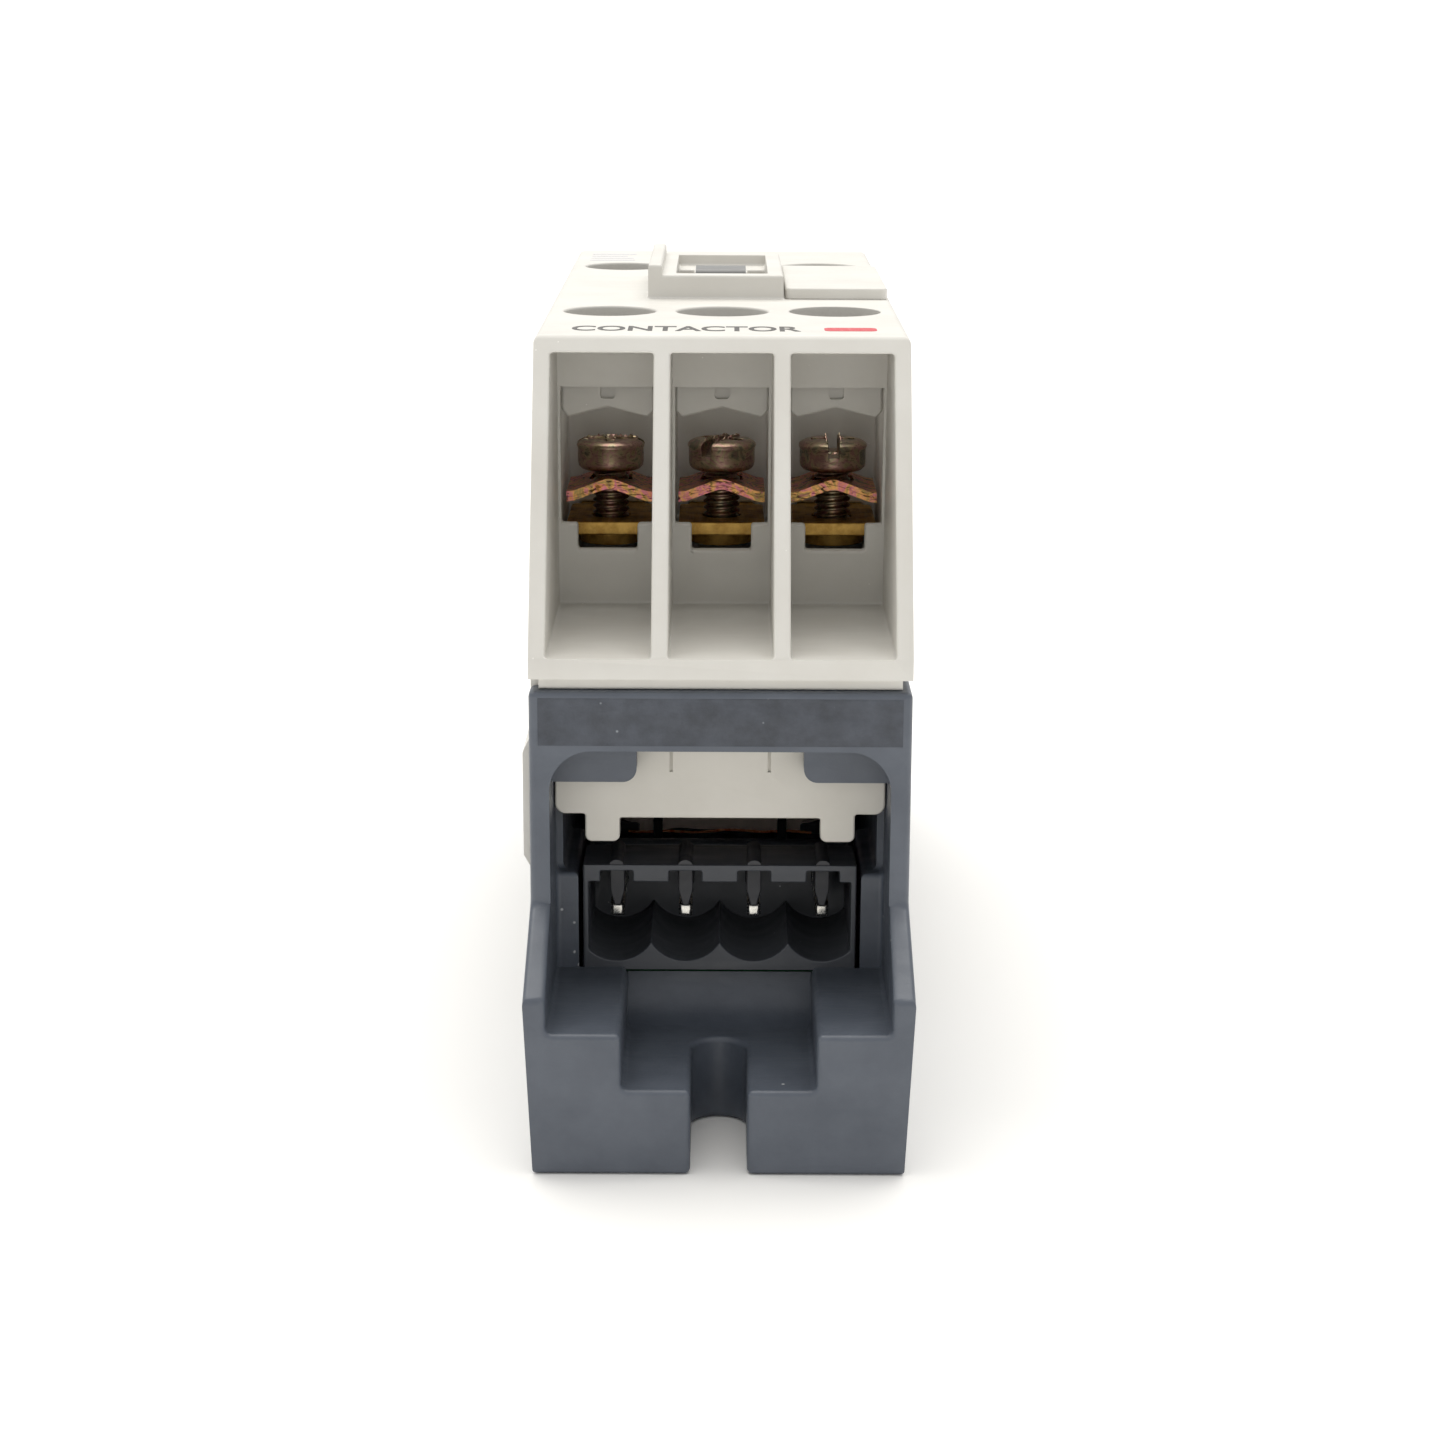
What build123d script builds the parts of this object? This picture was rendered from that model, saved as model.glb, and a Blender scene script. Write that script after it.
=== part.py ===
from build123d import *
import os

# Three-pole DIN-rail contactor, lying on its rail side. All sizes in millimetres.
# +X runs across the poles, +Y from the line end to the load end, +Z away from the rail.
# The origin is at the middle of the bottom face.

# ---- overall ----
LENGTH = 100.0
HALF = LENGTH / 2
WIDTH = 27.0
FOOT_TOP_WIDTH = 27.4
FOOT_BOTTOM_WIDTH = 26.2
FOOT_FLARE_Z = 13.0
FRONT_INSET = 7.4
BEAM_TOP = 33.2
BEAM_BOTTOM = 28.9
WALL_TOP_OF_SLOPE = 17.5
WALL_DRAFT = 0.05
FOOT_EDGE_RADIUS = 0.4
# How far a joined or cut shape runs past the face it meets.
OVERRUN = 0.1

# ---- poles ----
POLE_PITCH = 8.6
POLES = (-POLE_PITCH, 0.0, POLE_PITCH)
CHAMBER_WIDTH = 7.4

# ---- foot ----
SHELF_Z = 10.45
POCKET_HALF = 6.85
POCKET_Z = 6.3
POCKET_DEPTH = 15.2
SCREW_SLOT_WIDTH = 4.0
SCREW_SLOT_DEPTH = 10.4
WALL_INNER = 12.1
RECESS_CORNER = 3.0
LUG_DEPTH = 10.4
LUG_THICK = 1.6
LUG_BOTTOM = 25.8
LUG_INNER = 6.0
LUG_CORNER = 1.0
LUG_ROOT = 0.2

# ---- rail channel and clip ----
RAIL_WIDTH = 35.5
CHANNEL_Z = 8.0
HOOK_REACH = 1.7
HOOK_Z = (5.0, 6.8)
CLIP_TRAVEL = 2.0
CLIP_Z = (1.0, 2.8)
CLIP_PLAY = 0.1
CLIP_HALF = 8.0
CLIP_BODY_END = 26.0
CLIP_LEG = (3.4, 6.4)
CLIP_END_ROOM = 0.5
JAW_THICK = 1.2
JAW_ROOM = 3.6
CLIP_END_INSET = 0.2

# ---- pockets under the line-end block ----
CORE_OUT_PITCH_X = 7.8
CORE_OUT_PITCH_Y = 7.6
CORE_OUT_FIRST_Y = -30.2
CORE_OUT_HALF = 3.1
CORE_OUT_Z = 5.2
CORE_OUT_CORNER = 0.6

# ---- inside of the base ----
CAVITY_HALF_X = 11.6
CAVITY_HALF_Y = 36.0
CAVITY_FLOOR = 9.6
FAR_WALL_DEPTH = (12.6, 14.0)
FAR_WALL_REACH = 0.3
FAR_WALL_DROP = 0.5

# ---- terminal housing ----
HOUSING_BOTTOM = 34.1
TOP_Z = 57.0
TOP_INSET = 17.7
TOP_EDGE_RADIUS = 0.7
LIP_Z = 35.55
FRAME_UNDER = 55.7
BACK_WALL = 25.6
BACK_WALL_THICK = 1.2
WINDOW_WIDTH = 7.0
WINDOW_Z = (41.7, 52.1)
NOTCH_WIDTH = 4.5
NOTCH_Z = 39.7
SHAFT_HALF_X = 3.6
SHAFT_END = 37.4
SHAFT_FLOOR = 36.5
SHAFT_TOP = 55.2
ARC_WALL_THICK = 1.2
DRIVER_HOLE_RADIUS = 3.5
DRIVER_HOLE_HEIGHT = 6.0
DRIVER_HOLE_LEVEL = 2.5
STRAP_PLAY = 0.05
GUARD_DEPTH = 27.1
GUARD_THICK = 1.0
GUARD_Z = 49.6
GUARD_APEX = 0.75
GUARD_CORNER = 0.5
GUARD_GROOVE_HALF = 0.55
GUARD_GROOVE_CUT = 0.35
GUARD_GROOVE_RISE = 1.4
PLINTH_INSET = 0.7
PLINTH_GAP = 0.02
CARRIER_ROOM = 3.7
LOWER_ROOM_HALF_Y = 17.4
LOWER_ROOM_TOP = 36.9

# ---- top block and plate ----
BLOCK_X = (-5.9, 4.85)
BLOCK_HALF_Y = 9.2
BLOCK_Z = 58.9
BLOCK_ROOT = 0.5
BLOCK_EDGE_RADIUS = 0.25
TRAY_WALL = 1.3
TRAY_CUT = 0.9
RIB_X = (-5.9, -4.8)
RIB_Z = 59.7
PLUNGER_X = (-2.2, 1.9)
PLUNGER_HALF_Y = 2.1
PLUNGER_PLAY = 0.3
PLUNGER_TOP = 58.6
PLUNGER_ROUND = 0.5
POCKET_X = (-3.7, 3.6)
POCKET_HALF_Y = 4.5
POCKET_FLOOR_CUT = 0.6
PLATE_X = (5.0, 13.1)
PLATE_HALF_Y = 9.2
PLATE_THICK = 0.9
PLATE_CORNER = 0.5
PLATE_EDGE_RADIUS = 0.2

# ---- contacts ----
STRAP_Z = (40.2, 41.2)
STRAP_WIDTH = 6.6
STRAP_NECK = 5.2
STRAP_REST_X = 2.65
STRAP_LEDGE_Y = 8.0
STRAP_LEDGE_Z = 37.9
STRAP_OUTER = 21.0
STRAP_INNER = 6.2
STRAP_CORNER = 0.5
STRAP_END_PLAY = 0.3
STRAP_NECK_START = 1.5
SCREW_AXIS = 17.5
TIP_Y = 7.9
TIP_RADIUS = 1.5
TIP_THICK = 1.0
TRAVEL = 3.2
OVERTRAVEL = 1.2
CONTACT_PLAY = 0.05
BRIDGE_WIDTH = 4.4
BRIDGE_THICK = 1.0
BRIDGE_HALF = 9.5
BRIDGE_CORNER = 0.8
MOVING_TIP_THICK = 0.75
CARRIER_HALF_Y = 3.2
CARRIER_HALF_X = 12.0
CARRIER_TOP = 53.7
SLAB_BOTTOM = 40.3
NECK_HALF_X = 8.0
CARRIER_WINDOW = 4.8
CARRIER_WINDOW_TOP = 52.2
CARRIER_SIDE_PLAY = 0.3
CONTACT_SPRING_RADII = (1.8, 1.3)

# ---- terminal screw and saddle ----
LINE_SCREW_TURNS = (0, 62, 90)
LOAD_SCREW_TURNS = (25, 110, 75)
HEAD_RADIUS = 2.65
HEAD_Z = (44.8, 47.2)
SHANK_RADIUS = 1.45
SHANK_TIP = 38.9
SHANK_POINT = 0.4
HEAD_ROUND = 0.45
SLOT_WIDTH = 0.85
SLOT_HEIGHT = 1.3
CROSS_LENGTH = 3.2
CROSS_HEIGHT = 1.7
SADDLE_HOLE_PLAY = 0.25
RUNNING = 0.05
COLLAR_RADIUS = 2.5
COLLAR_Z = 39.2
SADDLE_WIDTH = 6.6
SADDLE_HALF_Y = 3.3
SADDLE_THICK = 0.8
SADDLE_END_Z = 42.6
SADDLE_RISE = 1.3

# ---- magnet ----
CUSHION_Z = (9.65, 10.75)
CORE_Z = (10.8, 14.6)
CORE_HALF_X = 11.2
CORE_HALF_Y = 9.0
CUSHION_CORNER = 1.0
ARMATURE_INSET = 0.2
CORE_LEG_TOP = 20.5
CENTRE_LEG_HALF = 3.6
OUTER_LEG_INNER = 8.95
ARMATURE_Z = (30.0, 33.6)
PIN_RADIUS = 1.0
PIN_Z = 32.0
PIN_HALF = 11.2
PIN_PLAY = 0.03
PIN_CHAMFER = 0.2
FOOT_PLATE_Z = (33.7, 36.0)
FOOT_PLATE_HALF = (9.0, 16.2)
EAR_Y = (9.3, 11.0)
EAR_BOTTOM = 30.4
EAR_HALF = 3.0
BOBBIN_Z = (14.7, 26.4)
FLANGE = 0.9
FLANGE_CORNER = 1.2
BOBBIN_HALF = (8.75, 16.0)
TUBE_OUTER = (4.6, 10.1)
TUBE_INNER = (3.85, 9.3)
WINDING_HALF = (8.2, 15.5)
WINDING_CORNER = 2.5
TAPE_THICK = 0.25
TAPE_Z = (16.2, 25.3)
RETURN_SPRING_Y = 13.6
RETURN_SPRING_RADIUS = 2.2
RETURN_SPRING_WIRE = 0.5
LEAD_X = (-5.0, 5.0)
LEAD_HALF = 0.35
LEAD_OUT = (0.2, 0.9)
LEAD_HOOK_Z = (0.9, 1.45)
LEAD_TAIL_TOP = 1.3

# ---- coil connector ----
HEADER_HALF = 10.1
HEADER_DEPTH = (14.0, 25.6)
HEADER_Z = (10.25, 18.4)
HEADER_WALL = 0.75
HEADER_BACK = 1.6
HEADER_SIDE = 0.4
HEADER_FLOOR = 0.5
HEADER_PITCH = 5.08
HEADER_POSITIONS = tuple(HEADER_PITCH * (i - 1.5) for i in range(4))
ARC_RADIUS = 2.95
ARC_CENTRE_Z = 13.9
KEY_WIDTH = 2.65
KEY_HEIGHT = 0.85
PIN_SIZE = 1.0
PIN_TIP_DEPTH = 15.9
PIN_LEVEL = 14.3
PIN_REAR = 27.0
PIN_POINT = 0.2
PIN_TAIL = 0.8
PIN_HOLE_RADIUS = 0.78
BOARD_Z = (8.5, 10.1)
BOARD_DEPTH = (15.8, 32.6)
BOARD_HALF = 10.15
BOARD_PLAY = 0.2
BOARD_END_PLAY = 0.3
BOARD_WELL_DROP = 1.6
PACKAGE_X = (-5.6, 5.6)
PACKAGE_HALF = 2.2
PACKAGE_DEPTH = (27.8, 31.4)
PACKAGE_TALL = 2.2
PACKAGE_CORNER = 0.3
POST_X = (10.45, 12.1)
POST_Z = 17.8

# ---- cover plate between coil and line end ----
COVER_DEPTH = 12.4
COVER_THICK = 1.4
COVER_HALF = 12.0
COVER_BOTTOM = 22.5
COVER_LEG_X = (7.3, 9.82)
COVER_LEG_Z = 20.7
COVER_STEP = 0.3
COVER_CORNER = 0.8
COVER_TOP_GAP = 0.6
COVER_LEG_CORNER = 0.5

# ---- latch ----
LATCH_DEPTH = (9.5, 16.5)
LATCH_OUTER = 14.1
LATCH_GROOVE = 12.55
LATCH_PLAY = 0.1
LATCH_BOTTOM = 19.5
LATCH_BARB_LOW = 20.6
LATCH_BARB_HIGH = 28.2
LATCH_BARB_END = 29.6


def block(x, y, z):
    """A box from three (low, high) ranges."""
    size = Box(x[1] - x[0], y[1] - y[0], z[1] - z[0])
    return Pos((x[0] + x[1]) / 2, (y[0] + y[1]) / 2, (z[0] + z[1]) / 2) * size


def around(centre, half):
    """The range centred on a value."""
    return (centre - half, centre + half)


def depth(near, far):
    """The Y range between two distances from the line end."""
    return (near - HALF, far - HALF)


def turned(shape):
    """The same shape at the load end."""
    return Rot(0, 0, 180) * shape


def at_both_ends(shape):
    """A line-end shape joined with its load-end twin."""
    return shape + turned(shape)


def side_profile(points, half_width):
    """A solid from (Y, Z) points, as wide as the part needs."""
    face = Plane.YZ * make_face(Polyline(*points, close=True))
    return extrude(face, half_width, both=True)


def front_profile(points, y):
    """A solid from (X, Z) points between two Y values."""
    face = Plane.XZ * make_face(Polyline(*points, close=True))
    return Pos(0, y[1], 0) * extrude(face, y[1] - y[0])


def rounded_opening(half_width, corner, y, z):
    """An opening along Y with round upper corners."""
    tall = z[1] - z[0]
    sketch = Plane.XZ * Pos(0, z[0] + tall / 2) * Rectangle(2 * half_width, tall)
    solid = Pos(0, y[1], 0) * extrude(sketch, y[1] - y[0])
    top = solid.edges().filter_by(Axis.Y).group_by(Axis.Z)[-1]
    return fillet(top, corner)


def tube(outer, inner, z):
    """A plain ring standing on Z."""
    tall = z[1] - z[0]
    ring = Cylinder(outer, tall) - Cylinder(inner, tall + 1)
    return Pos(0, 0, (z[0] + z[1]) / 2) * ring


def base_shell():
    """The black base's outside, with its sloped side walls and tapered foot."""
    side = [
        (-HALF, 0),
        (-HALF, FOOT_FLARE_Z),
        (FRONT_INSET - HALF, WALL_TOP_OF_SLOPE),
        (FRONT_INSET - HALF, BEAM_TOP),
    ]
    side = side + [(-y, z) for y, z in reversed(side)]
    front = [
        (FOOT_BOTTOM_WIDTH / 2, 0),
        (FOOT_TOP_WIDTH / 2, FOOT_FLARE_Z),
        (WIDTH / 2 + WALL_DRAFT, WALL_TOP_OF_SLOPE),
        (WIDTH / 2, BEAM_TOP),
    ]
    front = front + [(-x, z) for x, z in reversed(front)]
    shell = side_profile(side, FOOT_TOP_WIDTH) & front_profile(front, (-HALF, HALF))
    upright = shell.edges().filter_by(GeomType.LINE).filter_by_position(Axis.Z, 0, 0.01)
    return fillet(upright, FOOT_EDGE_RADIUS)


def line_foot_cuts():
    """The open front, middle pocket and mounting-screw slot at one end."""
    outside = depth(-1, 0)[0]
    opening = rounded_opening(
        WALL_INNER, RECESS_CORNER, (outside, LUG_DEPTH - HALF), (SHELF_Z, BEAM_BOTTOM)
    )
    back = block(
        around(0, WALL_INNER), depth(LUG_DEPTH, POCKET_DEPTH), (SHELF_Z, BEAM_BOTTOM)
    )
    pocket = block(around(0, POCKET_HALF), (outside, POCKET_DEPTH - HALF), (POCKET_Z, BEAM_BOTTOM))
    radius = SCREW_SLOT_WIDTH / 2
    slot_y = (outside, SCREW_SLOT_DEPTH - radius - HALF)
    slot = block(around(0, radius), slot_y, (-1, POCKET_Z + 1))
    slot += Pos(0, slot_y[1], POCKET_Z / 2) * Cylinder(radius, POCKET_Z + 2)
    return opening + back + pocket + slot


def lugs():
    """The two lugs behind the beam."""
    made = []
    for side in (-1, 1):
        lug = block(
            (LUG_INNER, WALL_INNER + LUG_ROOT),
            depth(LUG_DEPTH, LUG_DEPTH + LUG_THICK),
            (LUG_BOTTOM, BEAM_BOTTOM + LUG_ROOT),
        )
        low = lug.edges().filter_by(Axis.Y).group_by(Axis.Z)[0].sort_by(Axis.X)[0]
        lug = fillet(low, LUG_CORNER)
        made.append(lug if side > 0 else mirror(lug, Plane.YZ))
    return made


def posts():
    """The post on each side of the connector."""
    made = []
    for side in (-1, 1):
        x = POST_X if side > 0 else (-POST_X[1], -POST_X[0])
        post = block(x, depth(HEADER_DEPTH[0], HEADER_DEPTH[1]), (CAVITY_FLOOR - LUG_ROOT, POST_Z))
        made.append(post)
    return made


def rail_channel():
    """The room for the rail, its fixed hook left standing, and the clip's own room."""
    half = RAIL_WIDTH / 2
    room = block(around(0, FOOT_TOP_WIDTH), around(0, half), (-1, CHANNEL_Z))
    hook = block(around(0, FOOT_TOP_WIDTH), (-half, -half + HOOK_REACH), HOOK_Z)
    clip_z = (CLIP_Z[0] - CLIP_PLAY, CLIP_Z[1] + CLIP_PLAY)
    clip_x = CLIP_HALF + CLIP_PLAY
    body = block(around(0, clip_x), (half, CLIP_BODY_END + CLIP_TRAVEL + CLIP_END_ROOM), clip_z)
    jaw = block(around(0, clip_x), (half, half + JAW_ROOM), (clip_z[0], CHANNEL_Z))
    cuts = [room - hook, body, jaw]
    for side in (-1, 1):
        leg = sorted((side * (CLIP_LEG[0] - CLIP_PLAY), side * (CLIP_LEG[1] + CLIP_PLAY)))
        cuts.append(block(leg, (CLIP_BODY_END, HALF + 1), clip_z))
    return cuts


def core_outs():
    """Blind pockets under the line-end block, which keep its walls thin."""
    cuts = []
    for i in range(3):
        x = (i - 1) * CORE_OUT_PITCH_X
        for j in range(2):
            y = CORE_OUT_FIRST_Y + j * CORE_OUT_PITCH_Y
            pocket = block(around(x, CORE_OUT_HALF), around(y, CORE_OUT_HALF), (-1, CORE_OUT_Z))
            cuts.append(fillet(pocket.edges().filter_by(Axis.Z), CORE_OUT_CORNER))
    return cuts


def latch_grooves():
    """The groove in one side wall at each end, for the terminal housing's latch."""
    groove = block(
        (-WIDTH, -LATCH_GROOVE),
        depth(LATCH_DEPTH[0] - LATCH_PLAY, LATCH_DEPTH[1] + LATCH_PLAY),
        (LATCH_BOTTOM - 2 * LATCH_PLAY, BEAM_TOP + 1),
    )
    return at_both_ends(groove)


def base_housing():
    """Black base: feet, rail channel, magnet well and the end openings."""
    base = base_shell()
    well = block(around(0, CAVITY_HALF_X), around(0, CAVITY_HALF_Y), (CAVITY_FLOOR, BEAM_TOP + 1))
    board_well = block(
        around(0, BOARD_HALF + BOARD_PLAY),
        depth(BOARD_DEPTH[0] - BOARD_END_PLAY, BOARD_DEPTH[1] + BOARD_END_PLAY),
        (BOARD_Z[0] - BOARD_WELL_DROP, CAVITY_FLOOR + 1),
    )
    near_cuts = line_foot_cuts()
    far_cuts = turned(near_cuts)
    cover_room = block(
        around(0, COVER_LEG_X[0] + OVERRUN),
        depth(COVER_DEPTH - OVERRUN, HALF - CAVITY_HALF_Y + OVERRUN),
        (BEAM_BOTTOM - OVERRUN, BEAM_TOP + 1),
    )
    base = base - well - board_well - near_cuts - far_cuts - cover_room
    far_wall = block(
        around(0, WALL_INNER + FAR_WALL_REACH),
        (HALF - FAR_WALL_DEPTH[1], HALF - FAR_WALL_DEPTH[0]),
        (POCKET_Z - OVERRUN, BEAM_TOP - FAR_WALL_DROP),
    )
    base = base + far_wall
    for piece in lugs() + posts():
        base = base + piece
    for cut in rail_channel() + core_outs() + [latch_grooves()]:
        base = base - cut
    return base


def housing_shell():
    """The grey terminal housing's outside, with both sloped ends."""
    side = [
        (FRONT_INSET - HALF, HOUSING_BOTTOM),
        (FRONT_INSET - HALF, LIP_Z),
        (TOP_INSET - HALF, TOP_Z),
    ]
    side = side + [(-y, z) for y, z in reversed(side)]
    shell = side_profile(side, WIDTH / 2)
    top = shell.edges().group_by(Axis.Z)[-1]
    return fillet(top, TOP_EDGE_RADIUS)


def line_chambers():
    """The three wire chambers of one end with their windows and screw shafts."""
    cuts = []
    wall_end = BACK_WALL + BACK_WALL_THICK
    for x in POLES:
        wall = depth(BACK_WALL, wall_end)
        cuts.append(block(around(x, CHAMBER_WIDTH / 2), depth(-1, BACK_WALL), (LIP_Z, FRAME_UNDER)))
        cuts.append(block(around(x, WINDOW_WIDTH / 2), wall, WINDOW_Z))
        cuts.append(block(around(x, NOTCH_WIDTH / 2), wall, (NOTCH_Z, WINDOW_Z[0])))
        shaft = block(around(x, SHAFT_HALF_X), depth(wall_end, SHAFT_END), (SHAFT_FLOOR, SHAFT_TOP))
        cuts.append(shaft - guard(x) - strap_rests(x))
        hole = Cylinder(DRIVER_HOLE_RADIUS, DRIVER_HOLE_HEIGHT)
        cuts.append(Pos(x, -SCREW_AXIS, SHAFT_TOP + DRIVER_HOLE_LEVEL) * hole)
        neck_room = block(
            around(x, STRAP_NECK / 2 + STRAP_PLAY),
            depth(SHAFT_END, SHAFT_END + ARC_WALL_THICK),
            (STRAP_Z[0] - STRAP_PLAY, STRAP_Z[1] + STRAP_PLAY),
        )
        cuts.append(neck_room)
    return cuts


def strap_rests(x):
    """Two ribs on the shaft's side walls that carry a strap."""
    z = (SHAFT_FLOOR - OVERRUN, STRAP_Z[0] - STRAP_PLAY)
    y = (-STRAP_OUTER, SHAFT_END - HALF + OVERRUN)
    left = block((x - SHAFT_HALF_X - OVERRUN, x - STRAP_REST_X), y, z)
    right = block((x + STRAP_REST_X, x + SHAFT_HALF_X + OVERRUN), y, z)
    return left + right


def guard(x):
    """The finger guard behind a window, with a chevron lower edge."""
    end = WINDOW_WIDTH / 2
    outline = [
        (x - end, GUARD_Z + GUARD_CORNER),
        (x - end + GUARD_CORNER, GUARD_Z),
        (x, GUARD_Z + GUARD_APEX),
        (x + end - GUARD_CORNER, GUARD_Z),
        (x + end, GUARD_Z + GUARD_CORNER),
        (x + end, SHAFT_TOP + OVERRUN),
        (x - end, SHAFT_TOP + OVERRUN),
    ]
    y = depth(GUARD_DEPTH, GUARD_DEPTH + GUARD_THICK)
    panel = front_profile(outline, y)
    groove = block(
        around(x, GUARD_GROOVE_HALF),
        (y[0] - OVERRUN, y[0] + GUARD_GROOVE_CUT),
        (GUARD_Z + GUARD_GROOVE_RISE, SHAFT_TOP),
    )
    return panel - groove


def arc_chambers():
    """The rooms where the contacts open, with a ledge left under each strap."""
    cuts = []
    wall_end = SHAFT_END + ARC_WALL_THICK
    reach = HALF - wall_end
    tall = (LOWER_ROOM_TOP - OVERRUN, SHAFT_TOP)
    for x in POLES:
        room = block(around(x, CHAMBER_WIDTH / 2), around(0, reach), tall)
        for side in (-1, 1):
            ledge_y = sorted((side * STRAP_LEDGE_Y, side * reach))
            ledge_z = (STRAP_LEDGE_Z, STRAP_Z[0] - STRAP_PLAY)
            ledge = block(around(x, CHAMBER_WIDTH / 2), ledge_y, ledge_z)
            room = room - ledge
        cuts.append(room)
    slab = block(around(0, CARRIER_HALF_X + CARRIER_SIDE_PLAY), around(0, CARRIER_ROOM), tall)
    low_z = (HOUSING_BOTTOM - 2, LOWER_ROOM_TOP)
    low = block(around(0, CAVITY_HALF_X), around(0, LOWER_ROOM_HALF_Y), low_z)
    return cuts + [slab, low]


def top_block():
    """The raised block round the plunger slot, with its taller left rib."""
    body = block(BLOCK_X, around(0, BLOCK_HALF_Y), (TOP_Z - BLOCK_ROOT, BLOCK_Z))
    body = fillet(body.edges().group_by(Axis.Z)[-1], BLOCK_EDGE_RADIUS)
    rib = block(RIB_X, (-BLOCK_HALF_Y, BLOCK_HALF_Y), (TOP_Z - BLOCK_ROOT, RIB_Z))
    rib = fillet(rib.edges().group_by(Axis.Z)[-1], BLOCK_EDGE_RADIUS)
    return body + rib


def plunger_slot():
    """The slot the plunger stands in, and the two blind pockets beside it."""
    hole_x = (PLUNGER_X[0] - PLUNGER_PLAY, PLUNGER_X[1] + PLUNGER_PLAY)
    hole_y = around(0, PLUNGER_HALF_Y + PLUNGER_PLAY)
    hole = block(hole_x, hole_y, (SHAFT_TOP - 1, BLOCK_Z + 2))
    tray = block(POCKET_X, around(0, BLOCK_HALF_Y - TRAY_WALL), (BLOCK_Z - TRAY_CUT, BLOCK_Z + 2))
    low = (TOP_Z - POCKET_FLOOR_CUT, BLOCK_Z)
    left = block((POCKET_X[0], hole_x[0] + OVERRUN), around(0, POCKET_HALF_Y), low)
    right = block((hole_x[1] - OVERRUN, POCKET_X[1]), around(0, POCKET_HALF_Y), low)
    return [hole, tray, left, right]


def latch():
    """The snap leg that runs down the base's side wall."""
    outline = [
        (-LATCH_GROOVE - LATCH_PLAY, HOUSING_BOTTOM + LUG_ROOT),
        (-WIDTH / 2 + WALL_DRAFT, HOUSING_BOTTOM + LUG_ROOT),
        (-WIDTH / 2 + WALL_DRAFT, LATCH_BARB_END),
        (-LATCH_OUTER, LATCH_BARB_HIGH),
        (-LATCH_OUTER, LATCH_BARB_LOW),
        (-WIDTH / 2, LATCH_BOTTOM),
        (-LATCH_GROOVE - LATCH_PLAY, LATCH_BOTTOM),
    ]
    return front_profile(outline, depth(*LATCH_DEPTH))


def terminal_housing():
    """Grey upper housing: wire chambers, arc chambers, top block and latches."""
    housing = housing_shell() + top_block()
    near = line_chambers()
    for cut in near + [turned(c) for c in near] + arc_chambers() + plunger_slot():
        housing = housing - cut
    plinth = block(
        around(0, WIDTH / 2 - PLINTH_INSET),
        depth(FRONT_INSET + PLINTH_INSET, LENGTH - FRONT_INSET - PLINTH_INSET),
        (BEAM_TOP + PLINTH_GAP, HOUSING_BOTTOM + OVERRUN),
    )
    well_z = (BEAM_TOP - 1, HOUSING_BOTTOM + 1)
    well = block(around(0, CAVITY_HALF_X), around(0, LOWER_ROOM_HALF_Y), well_z)
    return housing + (plinth - well) + at_both_ends(latch())


def marker_plate():
    """The flat marking plate beside the top block."""
    plate = block(PLATE_X, around(0, PLATE_HALF_Y), (TOP_Z, TOP_Z + PLATE_THICK))
    plate = fillet(plate.edges().filter_by(Axis.Z), PLATE_CORNER)
    return fillet(plate.faces().sort_by(Axis.Z)[-1].edges(), PLATE_EDGE_RADIUS)


def coil_cover_plate():
    """The grey plate that hangs behind the beam, with two legs."""
    y = depth(COVER_DEPTH, COVER_DEPTH + COVER_THICK)
    body = block(around(0, COVER_HALF), y, (COVER_BOTTOM + COVER_STEP, LUG_BOTTOM + COVER_STEP))
    body = fillet(body.edges().filter_by(Axis.Y), COVER_CORNER)
    middle = block(around(0, COVER_LEG_X[0]), y, (COVER_BOTTOM, BEAM_TOP - COVER_TOP_GAP))
    plate = body + middle
    for side in (-1, 1):
        x = sorted((side * COVER_LEG_X[0], side * COVER_LEG_X[1]))
        leg = block(x, y, (COVER_LEG_Z, COVER_BOTTOM + 1))
        leg = fillet(leg.edges().filter_by(Axis.Y).group_by(Axis.Z)[0], COVER_LEG_CORNER)
        plate = plate + leg
    return plate


def header_shroud():
    """The connector's open shroud: four scallops below and keys above."""
    body = block(around(0, HEADER_HALF), depth(*HEADER_DEPTH), HEADER_Z)
    inner_end = HEADER_DEPTH[1] - HEADER_BACK
    y = depth(HEADER_DEPTH[0] - 1, inner_end)
    low, high = ARC_CENTRE_Z, HEADER_Z[1] - HEADER_WALL * 0.6
    room = block(around(0, HEADER_HALF - HEADER_SIDE), y, (low, high))
    middle_y = (y[0] + y[1]) / 2
    for x in HEADER_POSITIONS:
        bore = Rot(90, 0, 0) * Cylinder(ARC_RADIUS, y[1] - y[0])
        room = room + Pos(x, middle_y, ARC_CENTRE_Z) * bore
    room = room & block(around(0, HEADER_HALF - HEADER_SIDE), y, (HEADER_Z[0] + HEADER_FLOOR, high))
    body = body - room
    for i in range(5):
        low_x, high_x = around((i - 2) * HEADER_PITCH, KEY_WIDTH / 2)
        key_x = (max(low_x, OVERRUN - HEADER_HALF), min(high_x, HEADER_HALF - OVERRUN))
        key_z = (high - KEY_HEIGHT, high + OVERRUN)
        body = body + block(key_x, depth(HEADER_DEPTH[0], inner_end), key_z)
    half = PIN_SIZE / 2
    for x in HEADER_POSITIONS:
        body = body - block(around(x, half), depth(inner_end - 1, PIN_REAR), around(PIN_LEVEL, half))
    return body


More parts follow.
